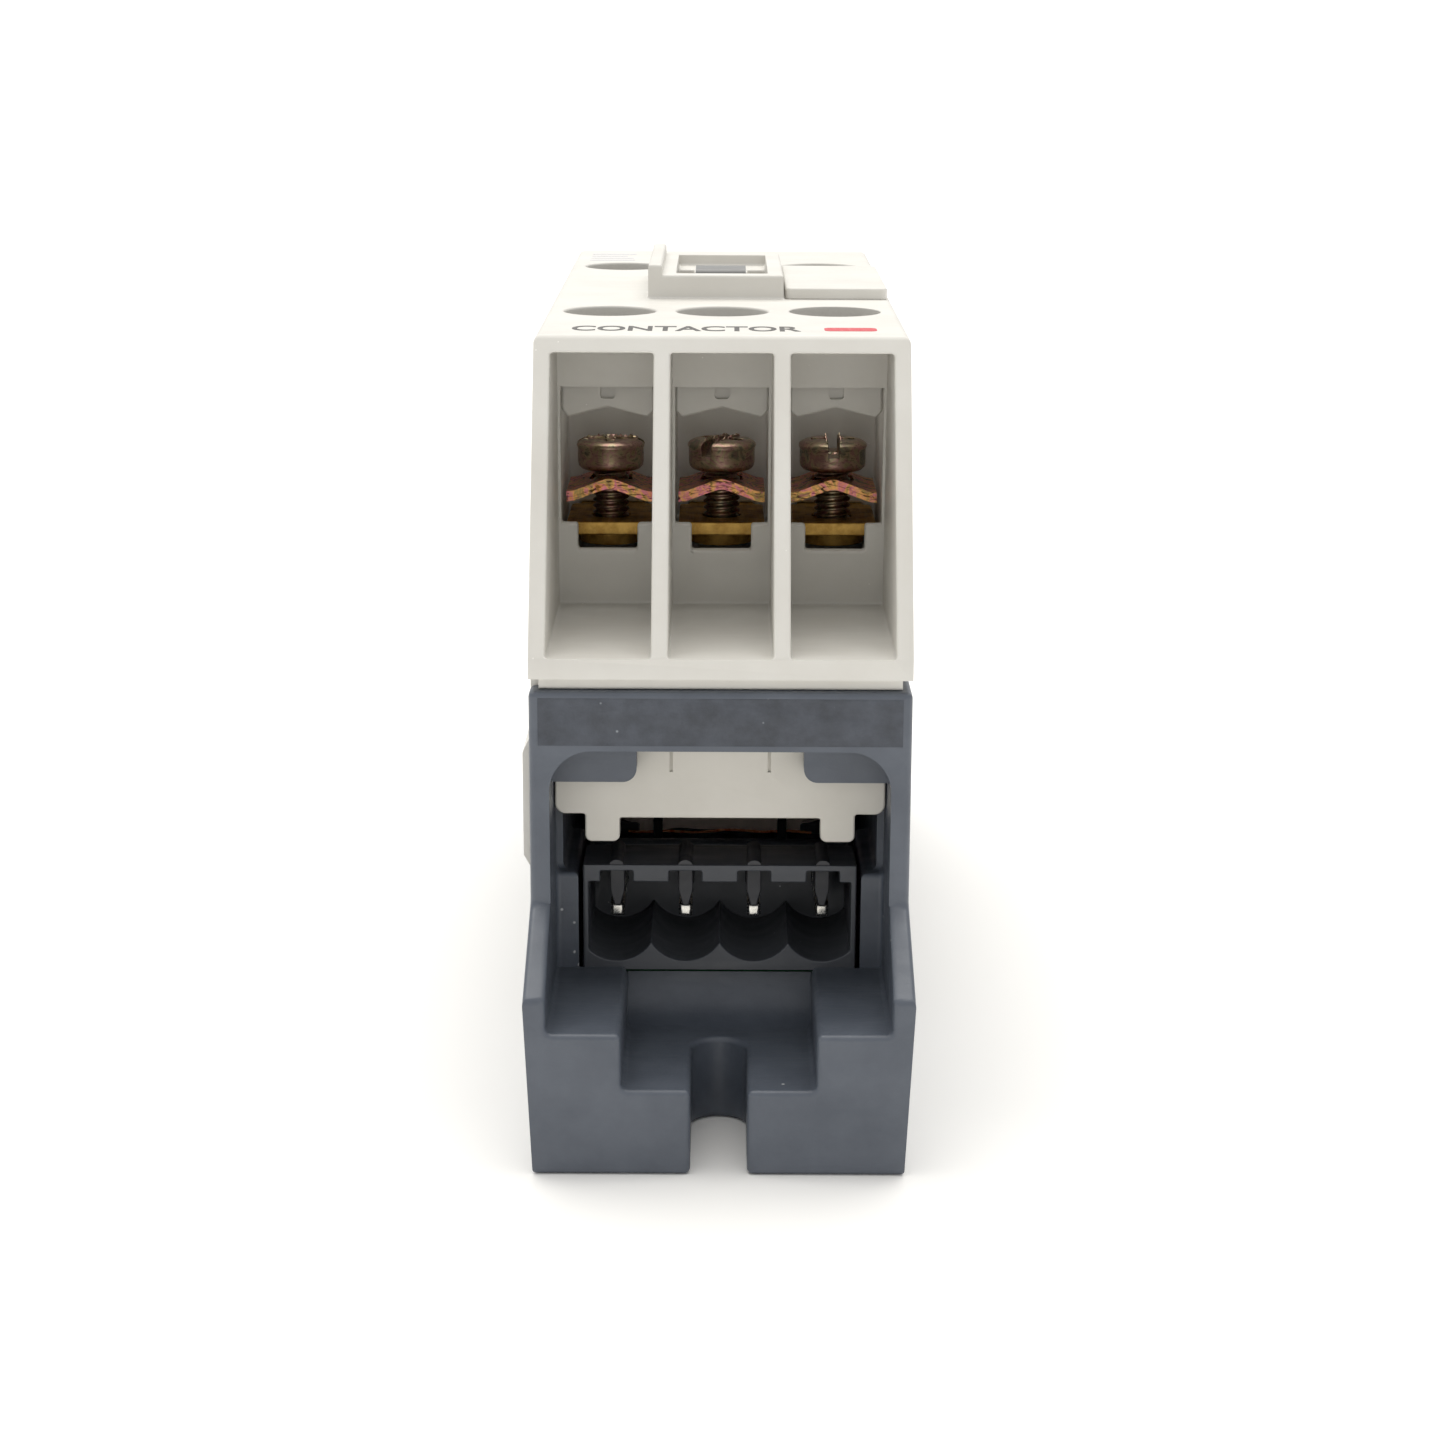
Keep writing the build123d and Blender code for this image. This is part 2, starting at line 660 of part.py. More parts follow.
def header_pins():
    """Four bent square pins, from the shroud down through the board."""
    pins = []
    half = PIN_SIZE / 2
    drop_z = (BOARD_Z[0] - PIN_TAIL, PIN_LEVEL)
    for x in HEADER_POSITIONS:
        run = block(around(x, half), depth(PIN_TIP_DEPTH, PIN_REAR), around(PIN_LEVEL, half))
        tip = run.faces().sort_by(Axis.Y)[0].edges()
        run = chamfer(tip, PIN_POINT)
        drop = block(around(x, half), depth(PIN_REAR - PIN_SIZE, PIN_REAR), drop_z)
        pins.append(run + drop)
    return Compound(pins)


def coil_board():
    """The small board under the connector."""
    board = block(around(0, BOARD_HALF), depth(*BOARD_DEPTH), BOARD_Z)
    rear = PIN_REAR - PIN_SIZE / 2
    for x in HEADER_POSITIONS:
        board = board - Pos(x, rear - HALF, BOARD_Z[0]) * Cylinder(PIN_HOLE_RADIUS, 4)
    return board


def board_parts():
    """A rectifier and a suppressor on the board."""
    made = []
    for x in PACKAGE_X:
        z = (BOARD_Z[1], BOARD_Z[1] + PACKAGE_TALL)
        body = block(around(x, PACKAGE_HALF), depth(*PACKAGE_DEPTH), z)
        made.append(fillet(body.edges().filter_by(Axis.Z), PACKAGE_CORNER))
    return Compound(made)


def coil_bobbin():
    """The coil's spool, with a square tube and two flanges."""
    half_x, half_y = BOBBIN_HALF
    flange = extrude(RectangleRounded(2 * half_x, 2 * half_y, FLANGE_CORNER), FLANGE)
    bobbin = Pos(0, 0, BOBBIN_Z[0]) * flange
    bobbin += Pos(0, 0, BOBBIN_Z[1] - FLANGE) * flange
    bobbin += block(around(0, TUBE_OUTER[0]), around(0, TUBE_OUTER[1]), BOBBIN_Z)
    bore_z = (BOBBIN_Z[0] - 1, BOBBIN_Z[1] + 1)
    bobbin -= block(around(0, TUBE_INNER[0]), around(0, TUBE_INNER[1]), bore_z)
    return bobbin


def coil_winding():
    """The copper winding, drawn as one body round the spool."""
    z = (BOBBIN_Z[0] + FLANGE, BOBBIN_Z[1] - FLANGE)
    outline = RectangleRounded(2 * WINDING_HALF[0], 2 * WINDING_HALF[1], WINDING_CORNER)
    outer = extrude(outline, z[1] - z[0])
    inner = block(around(0, TUBE_OUTER[0]), around(0, TUBE_OUTER[1]), (z[0] - 1, z[1] + 1))
    return Pos(0, 0, z[0]) * outer - inner


def coil_tape():
    """The tape wrapped over the winding."""
    tall = TAPE_Z[1] - TAPE_Z[0]
    size = (2 * WINDING_HALF[0], 2 * WINDING_HALF[1])
    grown = [s + 2 * TAPE_THICK for s in size]
    outer = extrude(RectangleRounded(grown[0], grown[1], WINDING_CORNER + TAPE_THICK), tall)
    inner = extrude(RectangleRounded(size[0], size[1], WINDING_CORNER), tall)
    return Pos(0, 0, TAPE_Z[0]) * (outer - inner)


def coil_leads():
    """The two coil tails from the spool's lower flange to the board."""
    made = []
    near = -BOBBIN_HALF[1] - LEAD_OUT[0]
    far = -BOBBIN_HALF[1] - LEAD_OUT[1]
    tail_z = (BOARD_Z[1], BOBBIN_Z[0] + LEAD_TAIL_TOP)
    hook_z = (BOBBIN_Z[0] + LEAD_HOOK_Z[0], BOBBIN_Z[0] + LEAD_HOOK_Z[1])
    for x in LEAD_X:
        tail = block(around(x, LEAD_HALF), (far, near), tail_z)
        hook = block(around(x, LEAD_HALF), (far, -WINDING_HALF[1]), hook_z)
        made.append(tail + hook)
    return Compound(made)


def magnet(yoke, leg_end, half_y):
    """An E-shaped iron: a yoke with three legs ending at one level."""
    iron = block(around(0, CORE_HALF_X), around(0, half_y), yoke)
    legs_z = sorted((leg_end, yoke[1] if leg_end > yoke[1] else yoke[0]))
    iron += block(around(0, CENTRE_LEG_HALF), around(0, half_y), legs_z)
    for side in (-1, 1):
        leg_x = sorted((side * OUTER_LEG_INNER, side * CORE_HALF_X))
        iron += block(leg_x, around(0, half_y), legs_z)
    return iron


def fixed_core():
    """The fixed magnet iron under the coil."""
    return magnet(CORE_Z, CORE_LEG_TOP, CORE_HALF_Y)


def core_cushion():
    """The rubber pad under the fixed iron."""
    pad = block(around(0, CORE_HALF_X), around(0, CORE_HALF_Y), CUSHION_Z)
    return fillet(pad.edges().filter_by(Axis.Z), CUSHION_CORNER)


def armature():
    """The moving magnet iron, with a hole for its pin."""
    iron = magnet(ARMATURE_Z, CORE_LEG_TOP + TRAVEL + CONTACT_PLAY, CORE_HALF_Y - ARMATURE_INSET)
    hole = Rot(90, 0, 0) * Cylinder(PIN_RADIUS + PIN_PLAY, 4 * CORE_HALF_Y)
    return iron - Pos(0, 0, PIN_Z) * hole


def armature_pin():
    """The pin that ties the armature to the contact carrier."""
    pin = Rot(90, 0, 0) * Cylinder(PIN_RADIUS, 2 * PIN_HALF)
    pin = chamfer(pin.edges().filter_by(GeomType.CIRCLE), PIN_CHAMFER)
    return Pos(0, 0, PIN_Z) * pin


def contact_carrier():
    """The moulded carrier: foot plate, three windows and the indicator plunger."""
    slab = block(around(0, CARRIER_HALF_X), around(0, CARRIER_HALF_Y), (SLAB_BOTTOM, CARRIER_TOP))
    neck_z = (FOOT_PLATE_Z[1] - OVERRUN, SLAB_BOTTOM + OVERRUN)
    neck = block(around(0, NECK_HALF_X), around(0, CARRIER_HALF_Y), neck_z)
    foot = block(around(0, FOOT_PLATE_HALF[0]), around(0, FOOT_PLATE_HALF[1]), FOOT_PLATE_Z)
    carrier = slab + neck + foot
    window = (bridge_bottom() - CONTACT_PLAY, CARRIER_WINDOW_TOP)
    for x in POLES:
        carrier = carrier - block(around(x, CARRIER_WINDOW / 2), around(0, CARRIER_HALF_Y + 1), window)
    for side in (-1, 1):
        ear_y = sorted((side * EAR_Y[0], side * EAR_Y[1]))
        carrier = carrier + block(around(0, EAR_HALF), ear_y, (EAR_BOTTOM, FOOT_PLATE_Z[0] + OVERRUN))
    pin_hole = Rot(90, 0, 0) * Cylinder(PIN_RADIUS + PIN_PLAY, 3 * EAR_Y[1])
    carrier = carrier - Pos(0, 0, PIN_Z) * pin_hole
    stem = block(PLUNGER_X, around(0, PLUNGER_HALF_Y), (CARRIER_TOP - OVERRUN, PLUNGER_TOP))
    ends = stem.edges().filter_by(Axis.X).group_by(Axis.Z)[-1]
    return carrier + fillet(ends, PLUNGER_ROUND)


def bridge_bottom():
    """The underside of a moving contact bar at rest."""
    gap = TRAVEL - OVERTRAVEL + CONTACT_PLAY
    return STRAP_Z[1] + TIP_THICK + gap + MOVING_TIP_THICK


def contact_bridge(x):
    """One moving contact bar."""
    z = (bridge_bottom(), bridge_bottom() + BRIDGE_THICK)
    bar = block(around(x, BRIDGE_WIDTH / 2), around(0, BRIDGE_HALF), z)
    return fillet(bar.edges().filter_by(Axis.Z), BRIDGE_CORNER)


def bridge_tips(x):
    """The two silver tips under a moving contact bar."""
    middle = bridge_bottom() - MOVING_TIP_THICK / 2
    tip = Cylinder(TIP_RADIUS, MOVING_TIP_THICK)
    return Compound([Pos(x, side * TIP_Y, middle) * tip for side in (-1, 1)])


def fixed_tips():
    """The six silver tips on the straps."""
    tip = Cylinder(TIP_RADIUS, TIP_THICK)
    middle = STRAP_Z[1] + TIP_THICK / 2
    return Compound([Pos(x, side * TIP_Y, middle) * tip for x in POLES for side in (-1, 1)])


def contact_spring(x):
    """The outer shape of one contact-pressure spring."""
    z = (bridge_bottom() + BRIDGE_THICK + CONTACT_PLAY, CARRIER_WINDOW_TOP - CONTACT_PLAY)
    return Pos(x, 0, 0) * tube(*CONTACT_SPRING_RADII, z)


def return_spring(y):
    """The outer shape of one return spring."""
    z = (BOBBIN_Z[1] + CONTACT_PLAY, FOOT_PLATE_Z[0] - CONTACT_PLAY)
    return Pos(0, y, 0) * tube(RETURN_SPRING_RADIUS, RETURN_SPRING_RADIUS - RETURN_SPRING_WIRE, z)


def terminal_strap(x):
    """One line-end terminal strap with its tapped collar."""
    wide_y = (-STRAP_OUTER, SHAFT_END - HALF - STRAP_END_PLAY)
    wide = block(around(x, STRAP_WIDTH / 2), wide_y, STRAP_Z)
    wide = fillet(wide.edges().filter_by(Axis.Z), STRAP_CORNER)
    neck_y = (-STRAP_OUTER + STRAP_NECK_START, -STRAP_INNER)
    neck = block(around(x, STRAP_NECK / 2), neck_y, STRAP_Z)
    neck = fillet(neck.edges().filter_by(Axis.Z), STRAP_CORNER)
    strap = wide + neck
    collar = Cylinder(COLLAR_RADIUS, STRAP_Z[0] - COLLAR_Z)
    strap += Pos(x, -SCREW_AXIS, (COLLAR_Z + STRAP_Z[0]) / 2) * collar
    return strap - Pos(x, -SCREW_AXIS, STRAP_Z[0]) * Cylinder(SHANK_RADIUS + RUNNING, 6)


def clamp_saddle(x):
    """One roof-shaped clamping saddle."""
    half = SADDLE_WIDTH / 2
    low, rise, thick = SADDLE_END_Z, SADDLE_RISE, SADDLE_THICK
    outline = [
        (x - half, low),
        (x, low + rise),
        (x + half, low),
        (x + half, low + thick),
        (x, low + rise + thick),
        (x - half, low + thick),
    ]
    y = (-SCREW_AXIS - SADDLE_HALF_Y, -SCREW_AXIS + SADDLE_HALF_Y)
    saddle = front_profile(outline, y)
    return saddle - Pos(x, -SCREW_AXIS, low) * Cylinder(SHANK_RADIUS + SADDLE_HOLE_PLAY, 8)


def terminal_screw(x, turn):
    """One clamp screw: cross-and-slot head, shank and pointed end."""
    head_height = HEAD_Z[1] - HEAD_Z[0]
    head = Cylinder(HEAD_RADIUS, head_height)
    head = fillet(head.edges().filter_by(GeomType.CIRCLE).group_by(Axis.Z)[-1], HEAD_ROUND)
    slot = Box(2 * HEAD_RADIUS + 1, SLOT_WIDTH, SLOT_HEIGHT)
    cross = Box(SLOT_WIDTH, CROSS_LENGTH, CROSS_HEIGHT)
    head = head - Pos(0, 0, head_height / 2) * (slot + cross)
    shank_height = HEAD_Z[0] - SHANK_TIP
    shank = Cylinder(SHANK_RADIUS, shank_height)
    shank = chamfer(shank.edges().filter_by(GeomType.CIRCLE).group_by(Axis.Z)[0], SHANK_POINT)
    screw = Pos(0, 0, sum(HEAD_Z) / 2) * head
    screw += Pos(0, 0, SHANK_TIP + shank_height / 2) * shank
    return Pos(x, -SCREW_AXIS, 0) * (Rot(0, 0, turn) * screw)


def din_clip():
    """The sliding rail clip: jaw, body and two pull legs."""
    half = RAIL_WIDTH / 2
    start = half - HOOK_REACH + CLIP_END_INSET
    body = block(around(0, CLIP_HALF), (start, CLIP_BODY_END), CLIP_Z)
    jaw = block(around(0, CLIP_HALF), (start, half + JAW_THICK), (CLIP_Z[0], HOOK_Z[1]))
    clip = body + jaw
    for side in (-1, 1):
        x = sorted((side * CLIP_LEG[0], side * CLIP_LEG[1]))
        clip += block(x, (CLIP_BODY_END - 1, HALF - CLIP_END_INSET), CLIP_Z)
    return clip


def write(name, shape):
    """Writes one node's STEP file."""
    export_step(shape, os.path.join("parts", name + ".step"))


def main():
    """Makes every node's STEP file."""
    os.makedirs("parts", exist_ok=True)
    write("base_housing", base_housing())
    write("terminal_housing", terminal_housing())
    write("marker_plate", marker_plate())
    write("coil_cover_plate", coil_cover_plate())
    write("header_shroud", header_shroud())
    write("header_pins", header_pins())
    write("coil_board", coil_board())
    write("board_parts", board_parts())
    write("coil_bobbin", coil_bobbin())
    write("coil_winding", coil_winding())
    write("coil_tape", coil_tape())
    write("coil_leads", coil_leads())
    write("fixed_core", fixed_core())
    write("core_cushion", core_cushion())
    write("armature", armature())
    write("armature_pin", armature_pin())
    write("contact_carrier", contact_carrier())
    write("fixed_tips", fixed_tips())
    write("return_spring_line", return_spring(-RETURN_SPRING_Y))
    write("return_spring_load", return_spring(RETURN_SPRING_Y))
    write("din_clip", din_clip())
    for number, x in enumerate(POLES, start=1):
        line_turn = LINE_SCREW_TURNS[number - 1]
        load_turn = LOAD_SCREW_TURNS[number - 1]
        write(f"contact_bridge_{number}", contact_bridge(x))
        write(f"bridge_tips_{number}", bridge_tips(x))
        write(f"contact_spring_{number}", contact_spring(x))
        write(f"line_strap_{number}", terminal_strap(x))
        write(f"line_saddle_{number}", clamp_saddle(x))
        write(f"line_screw_{number}", terminal_screw(x, line_turn))
        write(f"load_strap_{number}", turned(terminal_strap(-x)))
        write(f"load_saddle_{number}", turned(clamp_saddle(-x)))
        write(f"load_screw_{number}", turned(terminal_screw(-x, load_turn)))


main()
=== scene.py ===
"""Looks of a three-pole DIN-rail contactor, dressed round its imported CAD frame.

Lengths in this script are millimetres until a mesh is made, where MM turns them into metres.
+X runs across the poles, +Y from the line end to the load end, +Z away from the rail.
"""

import logging
import math
import random
from dataclasses import dataclass
from enum import Enum
from typing import Iterable, Sequence

import bmesh
import bpy
from mathutils import Matrix, Vector
from mathutils.bvhtree import BVHTree
from mathutils.kdtree import KDTree


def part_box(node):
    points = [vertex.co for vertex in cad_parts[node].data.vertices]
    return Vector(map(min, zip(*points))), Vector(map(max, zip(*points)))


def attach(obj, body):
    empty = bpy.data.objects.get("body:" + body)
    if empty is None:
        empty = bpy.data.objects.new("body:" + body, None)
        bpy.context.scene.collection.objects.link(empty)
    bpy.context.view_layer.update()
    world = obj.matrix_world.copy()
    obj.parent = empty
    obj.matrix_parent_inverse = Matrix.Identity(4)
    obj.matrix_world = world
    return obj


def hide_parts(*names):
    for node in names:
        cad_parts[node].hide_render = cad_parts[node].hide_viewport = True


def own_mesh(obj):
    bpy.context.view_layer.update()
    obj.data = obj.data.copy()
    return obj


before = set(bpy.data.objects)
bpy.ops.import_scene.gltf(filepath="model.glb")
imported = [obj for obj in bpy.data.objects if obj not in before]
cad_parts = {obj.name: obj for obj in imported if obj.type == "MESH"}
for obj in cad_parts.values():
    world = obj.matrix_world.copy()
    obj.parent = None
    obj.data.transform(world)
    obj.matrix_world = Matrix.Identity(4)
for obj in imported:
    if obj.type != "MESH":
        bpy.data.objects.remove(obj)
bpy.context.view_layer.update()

MM = 0.001
LOG = logging.getLogger("contactor")
POLE_PITCH = 8.6
POLES = (-POLE_PITCH, 0.0, POLE_PITCH)
Point = tuple[float, float]
Tree = bpy.types.NodeTree
Node = bpy.types.Node
Socket = bpy.types.NodeSocket
Piece = bpy.types.Object
Mesh = bmesh.types.BMesh
Inputs = dict[str | int, object]


class End(Enum):
    """The two terminal ends, with the sign of Y where each lies."""

    LINE = -1
    LOAD = 1


# ---- small helpers ----


def linear(code: str) -> tuple[float, ...]:
    """Turn an sRGB hex colour, a hash sign and six digits, into linear RGBA."""
    parts = [int(code[i : i + 2], 16) / 255 for i in (1, 3, 5)]
    curved = [c / 12.92 if c <= 0.04045 else ((c + 0.055) / 1.055) ** 2.4 for c in parts]
    return (*curved, 1.0)


def per_mm(size: float) -> float:
    """Texture scale whose features are about this many millimetres across."""
    return 1.0 / (size * MM)


def feed(tree: Tree, node: Node, inputs: Inputs) -> None:
    """Set a node's inputs.

    Args:
        tree: the tree the node is in.
        node: the node.
        inputs: for each input a value, an output socket, or a node for its first output.
    """
    for key, value in inputs.items():
        if isinstance(value, Node):
            value = value.outputs[0]
        if isinstance(value, Socket):
            tree.links.new(value, node.inputs[key])
        else:
            node.inputs[key].default_value = value


def add_node(
    tree: Tree, kind: str, inputs: Inputs | None = None,
    stops: Sequence[tuple[float, str]] = (), **settings: object,
) -> Node:
    """Add one shader node with its settings, values and links.

    Args:
        tree: the node tree to add to.
        kind: the node's type name, without the words ShaderNode.
        inputs: what its inputs are fed, as feed takes it.
        stops: positions and hex colours, for a colour ramp.
        settings: properties set on the node itself.

    Returns:
        The new node.
    """
    node = tree.nodes.new(f"ShaderNode{kind}")
    for key, value in settings.items():
        setattr(node, key, value)
    feed(tree, node, inputs or {})
    if stops:
        ramp = node.color_ramp
        while len(ramp.elements) < len(stops):
            ramp.elements.new(0.5)
        for element, (position, code) in zip(ramp.elements, stops):
            element.position = position
            element.color = linear(code)
    return node


# ---- finishes ----


class Finish:
    """A finish that dresses pieces. Its material is built once and shared."""

    made: dict[str, bpy.types.Material] = {}
    name: str

    def dress(self, piece: Piece) -> None:
        """Give a piece this finish in its only material slot."""
        if self.name not in Finish.made:
            material = bpy.data.materials.new(self.name)
            material.use_nodes = True
            tree = material.node_tree
            place = add_node(tree, "TexCoord").outputs["Object"]
            feed(tree, tree.nodes["Principled BSDF"], self.build(tree, place))
            Finish.made[self.name] = material
        piece.data.materials.clear()
        piece.data.materials.append(Finish.made[self.name])

    def build(self, tree: Tree, place: Socket) -> Inputs:
        """Add the finish's nodes.

        Args:
            tree: the material's node tree.
            place: the point of the piece that is shaded.

        Returns:
            What the Principled shader's inputs are fed.
        """
        raise NotImplementedError

    @staticmethod
    def wear(
        tree: Tree, pattern: Node, span: Point, rough: Point, bump: Point,
    ) -> Inputs:
        """Let roughness and relief follow one pattern.

        Args:
            tree: the material's node tree.
            pattern: the pattern.
            span: the pattern's values where the two roughnesses are reached.
            rough: those roughnesses.
            bump: the relief's strength, and its depth in millimetres.

        Returns:
            The shader's Roughness and Normal.
        """
        dull = add_node(
            tree, "MapRange",
            {"Value": pattern, "From Min": span[0], "From Max": span[1], "To Min": rough[0], "To Max": rough[1]},
        )
        relief = add_node(tree, "Bump", {"Height": pattern, "Strength": bump[0], "Distance": bump[1] * MM})
        return {"Roughness": dull, "Normal": relief}


@dataclass(frozen=True)
class MouldedPlastic(Finish):
    """Injection-moulded plastic from a lightly spark-eroded tool.

    The tool leaves an even fine grain, so highlights are broad and soft. Filler and flow
    give a faint cloudiness, handling leaves scuffs that shine a little, and dust sits on it.
    """

    name: str
    colour: str
    cloud: str
    dust: str
    roughness: float = 0.5
    ior: float = 1.53
    grain_mm: float = 0.16
    grain_depth_mm: float = 0.012
    cloud_mm: float = 7.0
    scuff_mm: float = 1.6
    scuff_depth_mm: float = 0.04
    dust_cell_mm: float = 1.7
    dust_radius: float = 0.045
    dust_share: float = 0.45
    streak: float = 0.0

    def build(self, tree: Tree, place: Socket) -> Inputs:
        """See Finish.build."""
        clouds = add_node(
            tree, "TexNoise", {"Vector": place, "Scale": per_mm(self.cloud_mm), "Detail": 4.0, "Roughness": 0.6},
        )
        body = add_node(tree, "ValToRGB", {"Fac": clouds}, [(0.3, self.cloud), (0.7, self.colour)])
        cells = add_node(tree, "TexVoronoi", {"Vector": place, "Scale": per_mm(self.dust_cell_mm)})
        speck = add_node(
            tree, "MapRange",
            {"Value": cells, "From Min": self.dust_radius, "From Max": self.dust_radius * 0.4,
             "To Min": 0.0, "To Max": 0.85},
        )
        few = {0: cells.outputs["Color"], 1: 1 - self.dust_share}
        lone = add_node(tree, "Math", few, operation="GREATER_THAN")
        dusty = add_node(tree, "Math", {0: speck, 1: lone}, operation="MULTIPLY")
        # A Mix node's colour inputs are 6 and 7, and its colour output is 2.
        surface = add_node(tree, "Mix", {0: dusty, 6: body, 7: linear(self.dust)}, data_type="RGBA")
        stretch = add_node(
            tree, "Mapping", {"Vector": place, "Scale": (0.18, 1.0, 1.0), "Rotation": (0, 0, 0.04)},
        )
        scuffs = add_node(
            tree, "TexNoise",
            {"Vector": stretch, "Scale": per_mm(self.scuff_mm), "Detail": 6.0, "Roughness": 0.7,
             "Distortion": 0.6},
        )
        worn = self.wear(
            tree, scuffs, (0.35, 0.68), (self.roughness + 0.07, self.roughness - 0.10),
            (0.2 + self.streak, self.scuff_depth_mm),
        )
        grain = add_node(
            tree, "TexNoise", {"Vector": place, "Scale": per_mm(self.grain_mm), "Detail": 3.0, "Roughness": 0.55},
        )
        fine = add_node(tree, "Bump", {"Height": grain, "Strength": 0.55, "Distance": self.grain_depth_mm * MM})
        feed(tree, worn["Normal"], {"Normal": fine})
        return {"Base Color": surface.outputs[2], "IOR": self.ior, **worn}


@dataclass(frozen=True)
class YellowZinc(Finish):
    """Steel, zinc plated and yellow passivated in a dip.

    The thin chromate film is uneven, so its interference colour drifts between gold, copper
    pink and olive within a millimetre, over a metal that is half dull. Sheared edges are torn
    into short dark cracks.
    """

    name: str
    tints: tuple[str, ...]
    roughness: float = 0.34
    drift_mm: float = 1.5
    pit_mm: float = 0.14
    pit_depth_mm: float = 0.015
    crack: float = 0.35
    crack_mm: float = 0.42

    def build(self, tree: Tree, place: Socket) -> Inputs:
        """See Finish.build."""
        film = add_node(
            tree, "TexNoise",
            {"Vector": place, "Scale": per_mm(self.drift_mm), "Detail": 3.0, "Roughness": 0.55,
             "Distortion": 1.2},
        )
        steps = [(0.28 + 0.44 * i / (len(self.tints) - 1), t) for i, t in enumerate(self.tints)]
        colour = add_node(tree, "ValToRGB", {"Fac": film}, steps)
        squeeze = add_node(tree, "Mapping", {"Vector": place, "Scale": (0.45, 1.0, 1.6)})
        tears = add_node(
            tree, "TexNoise",
            {"Vector": squeeze, "Scale": per_mm(self.crack_mm), "Detail": 3.0, "Distortion": 1.5},
        )
        line = add_node(
            tree, "MapRange",
            {"Value": tears, "From Min": 0.38, "From Max": 0.47, "To Min": 1.0 - self.crack, "To Max": 1.0},
        )
        dark = add_node(tree, "VectorMath", {0: colour, "Scale": line}, operation="SCALE")
        pits = add_node(
            tree, "TexNoise", {"Vector": place, "Scale": per_mm(self.pit_mm), "Detail": 4.0, "Roughness": 0.7},
        )
        rough = (self.roughness + 0.14, self.roughness - 0.08)
        return {
            "Base Color": dark, "Metallic": 1.0,
            **self.wear(tree, pits, (0.3, 0.7), rough, (0.5, self.pit_depth_mm)),
        }


@dataclass(frozen=True)
class WorkedMetal(Finish):
    """Bare or plated metal, rolled, stamped, drawn or ground.

    Working leaves fine parallel lines, which spread each highlight across them, and air and
    fingers leave darker patches.
    """

    name: str
    colour: str
    tarnish: str
    roughness: float = 0.28
    line_mm: float = 0.12
    line_stretch: tuple[float, float, float] = (1.0, 0.06, 1.0)
    line_depth_mm: float = 0.006
    patch_mm: float = 3.0

    def build(self, tree: Tree, place: Socket) -> Inputs:
        """See Finish.build."""
        patches = add_node(
            tree, "TexNoise", {"Vector": place, "Scale": per_mm(self.patch_mm), "Detail": 5.0, "Roughness": 0.62},
        )
        colour = add_node(tree, "ValToRGB", {"Fac": patches}, [(0.34, self.tarnish), (0.62, self.colour)])
        along = add_node(tree, "Mapping", {"Vector": place, "Scale": self.line_stretch})
        lines = add_node(tree, "TexNoise", {"Vector": along, "Scale": per_mm(self.line_mm), "Detail": 2.0})
        rough = (self.roughness - 0.07, self.roughness + 0.10)
        return {
            "Base Color": colour, "Metallic": 1.0,
            **self.wear(tree, lines, (0.3, 0.7), rough, (0.4, self.line_depth_mm)),
        }


@dataclass(frozen=True)
class CoatedFilm(Finish):
    """A thin glossy coat over another ground: tape, lacquer or solder resist.

    The coat follows what lies under it, so its gloss is wavy, and it thins at ridges.
    """

    name: str
    colour: str
    thin: str
    roughness: float = 0.3
    coat: float = 0.4
    coat_roughness: float = 0.12
    wave_mm: float = 1.1
    wave_depth_mm: float = 0.03

    def build(self, tree: Tree, place: Socket) -> Inputs:
        """See Finish.build."""
        waves = add_node(
            tree, "TexNoise", {"Vector": place, "Scale": per_mm(self.wave_mm), "Detail": 4.0, "Roughness": 0.5},
        )
        colour = add_node(tree, "ValToRGB", {"Fac": waves}, [(0.35, self.colour), (0.72, self.thin)])
        rough = (self.roughness - 0.08, self.roughness + 0.12)
        return {
            "Base Color": colour, "Coat Weight": self.coat, "Coat Roughness": self.coat_roughness,
            **self.wear(tree, waves, (0.0, 1.0), rough, (0.35, self.wave_depth_mm)),
        }


@dataclass(frozen=True)
class PatchyCoat(Finish):
    """A flat matt coat: ink, patchy where the pad skipped, or a laminate's faint mottle."""

    name: str
    colour: str
    worn: str
    roughness: float = 0.55
    patch_mm: float = 0.35
    detail: float = 5.0
    fray: float = 0.7
    steps: Point = (0.52, 0.74)

    def build(self, tree: Tree, place: Socket) -> Inputs:
        """See Finish.build."""
        patches = add_node(
            tree, "TexNoise",
            {"Vector": place, "Scale": per_mm(self.patch_mm), "Detail": self.detail, "Roughness": self.fray},
        )
        stops = list(zip(self.steps, (self.colour, self.worn)))
        return {"Base Color": add_node(tree, "ValToRGB", {"Fac": patches}, stops), "Roughness": self.roughness}


# Light grey glass-filled PBT, moulded: off-white with a hint of warmth, soft highlights.
GREY_PBT = MouldedPlastic("Light grey PBT, moulded", "#DCDAD4", "#D5D2CB", "#F6F4EF", roughness=0.46)
GREY_PLATE_PBT = MouldedPlastic("Grey PBT plate, moulded", "#DCD8CF", "#D3CFC5", "#F1EEE7", roughness=0.5)
# Black polyamide, moulded, with a fine grain: the base colour is lifted to slate, partly the black's own tone and
# partly a painted sheen that stands in for the bright surround it reflects.
BLACK_PA = MouldedPlastic(
    "Black polyamide, moulded, with painted sheen", "#595F69", "#4E545E", "#C9CBCC", roughness=0.42, streak=0.5,
    grain_mm=0.22, grain_depth_mm=0.02, cloud_mm=4.0, dust_cell_mm=2.1, dust_radius=0.07,
)
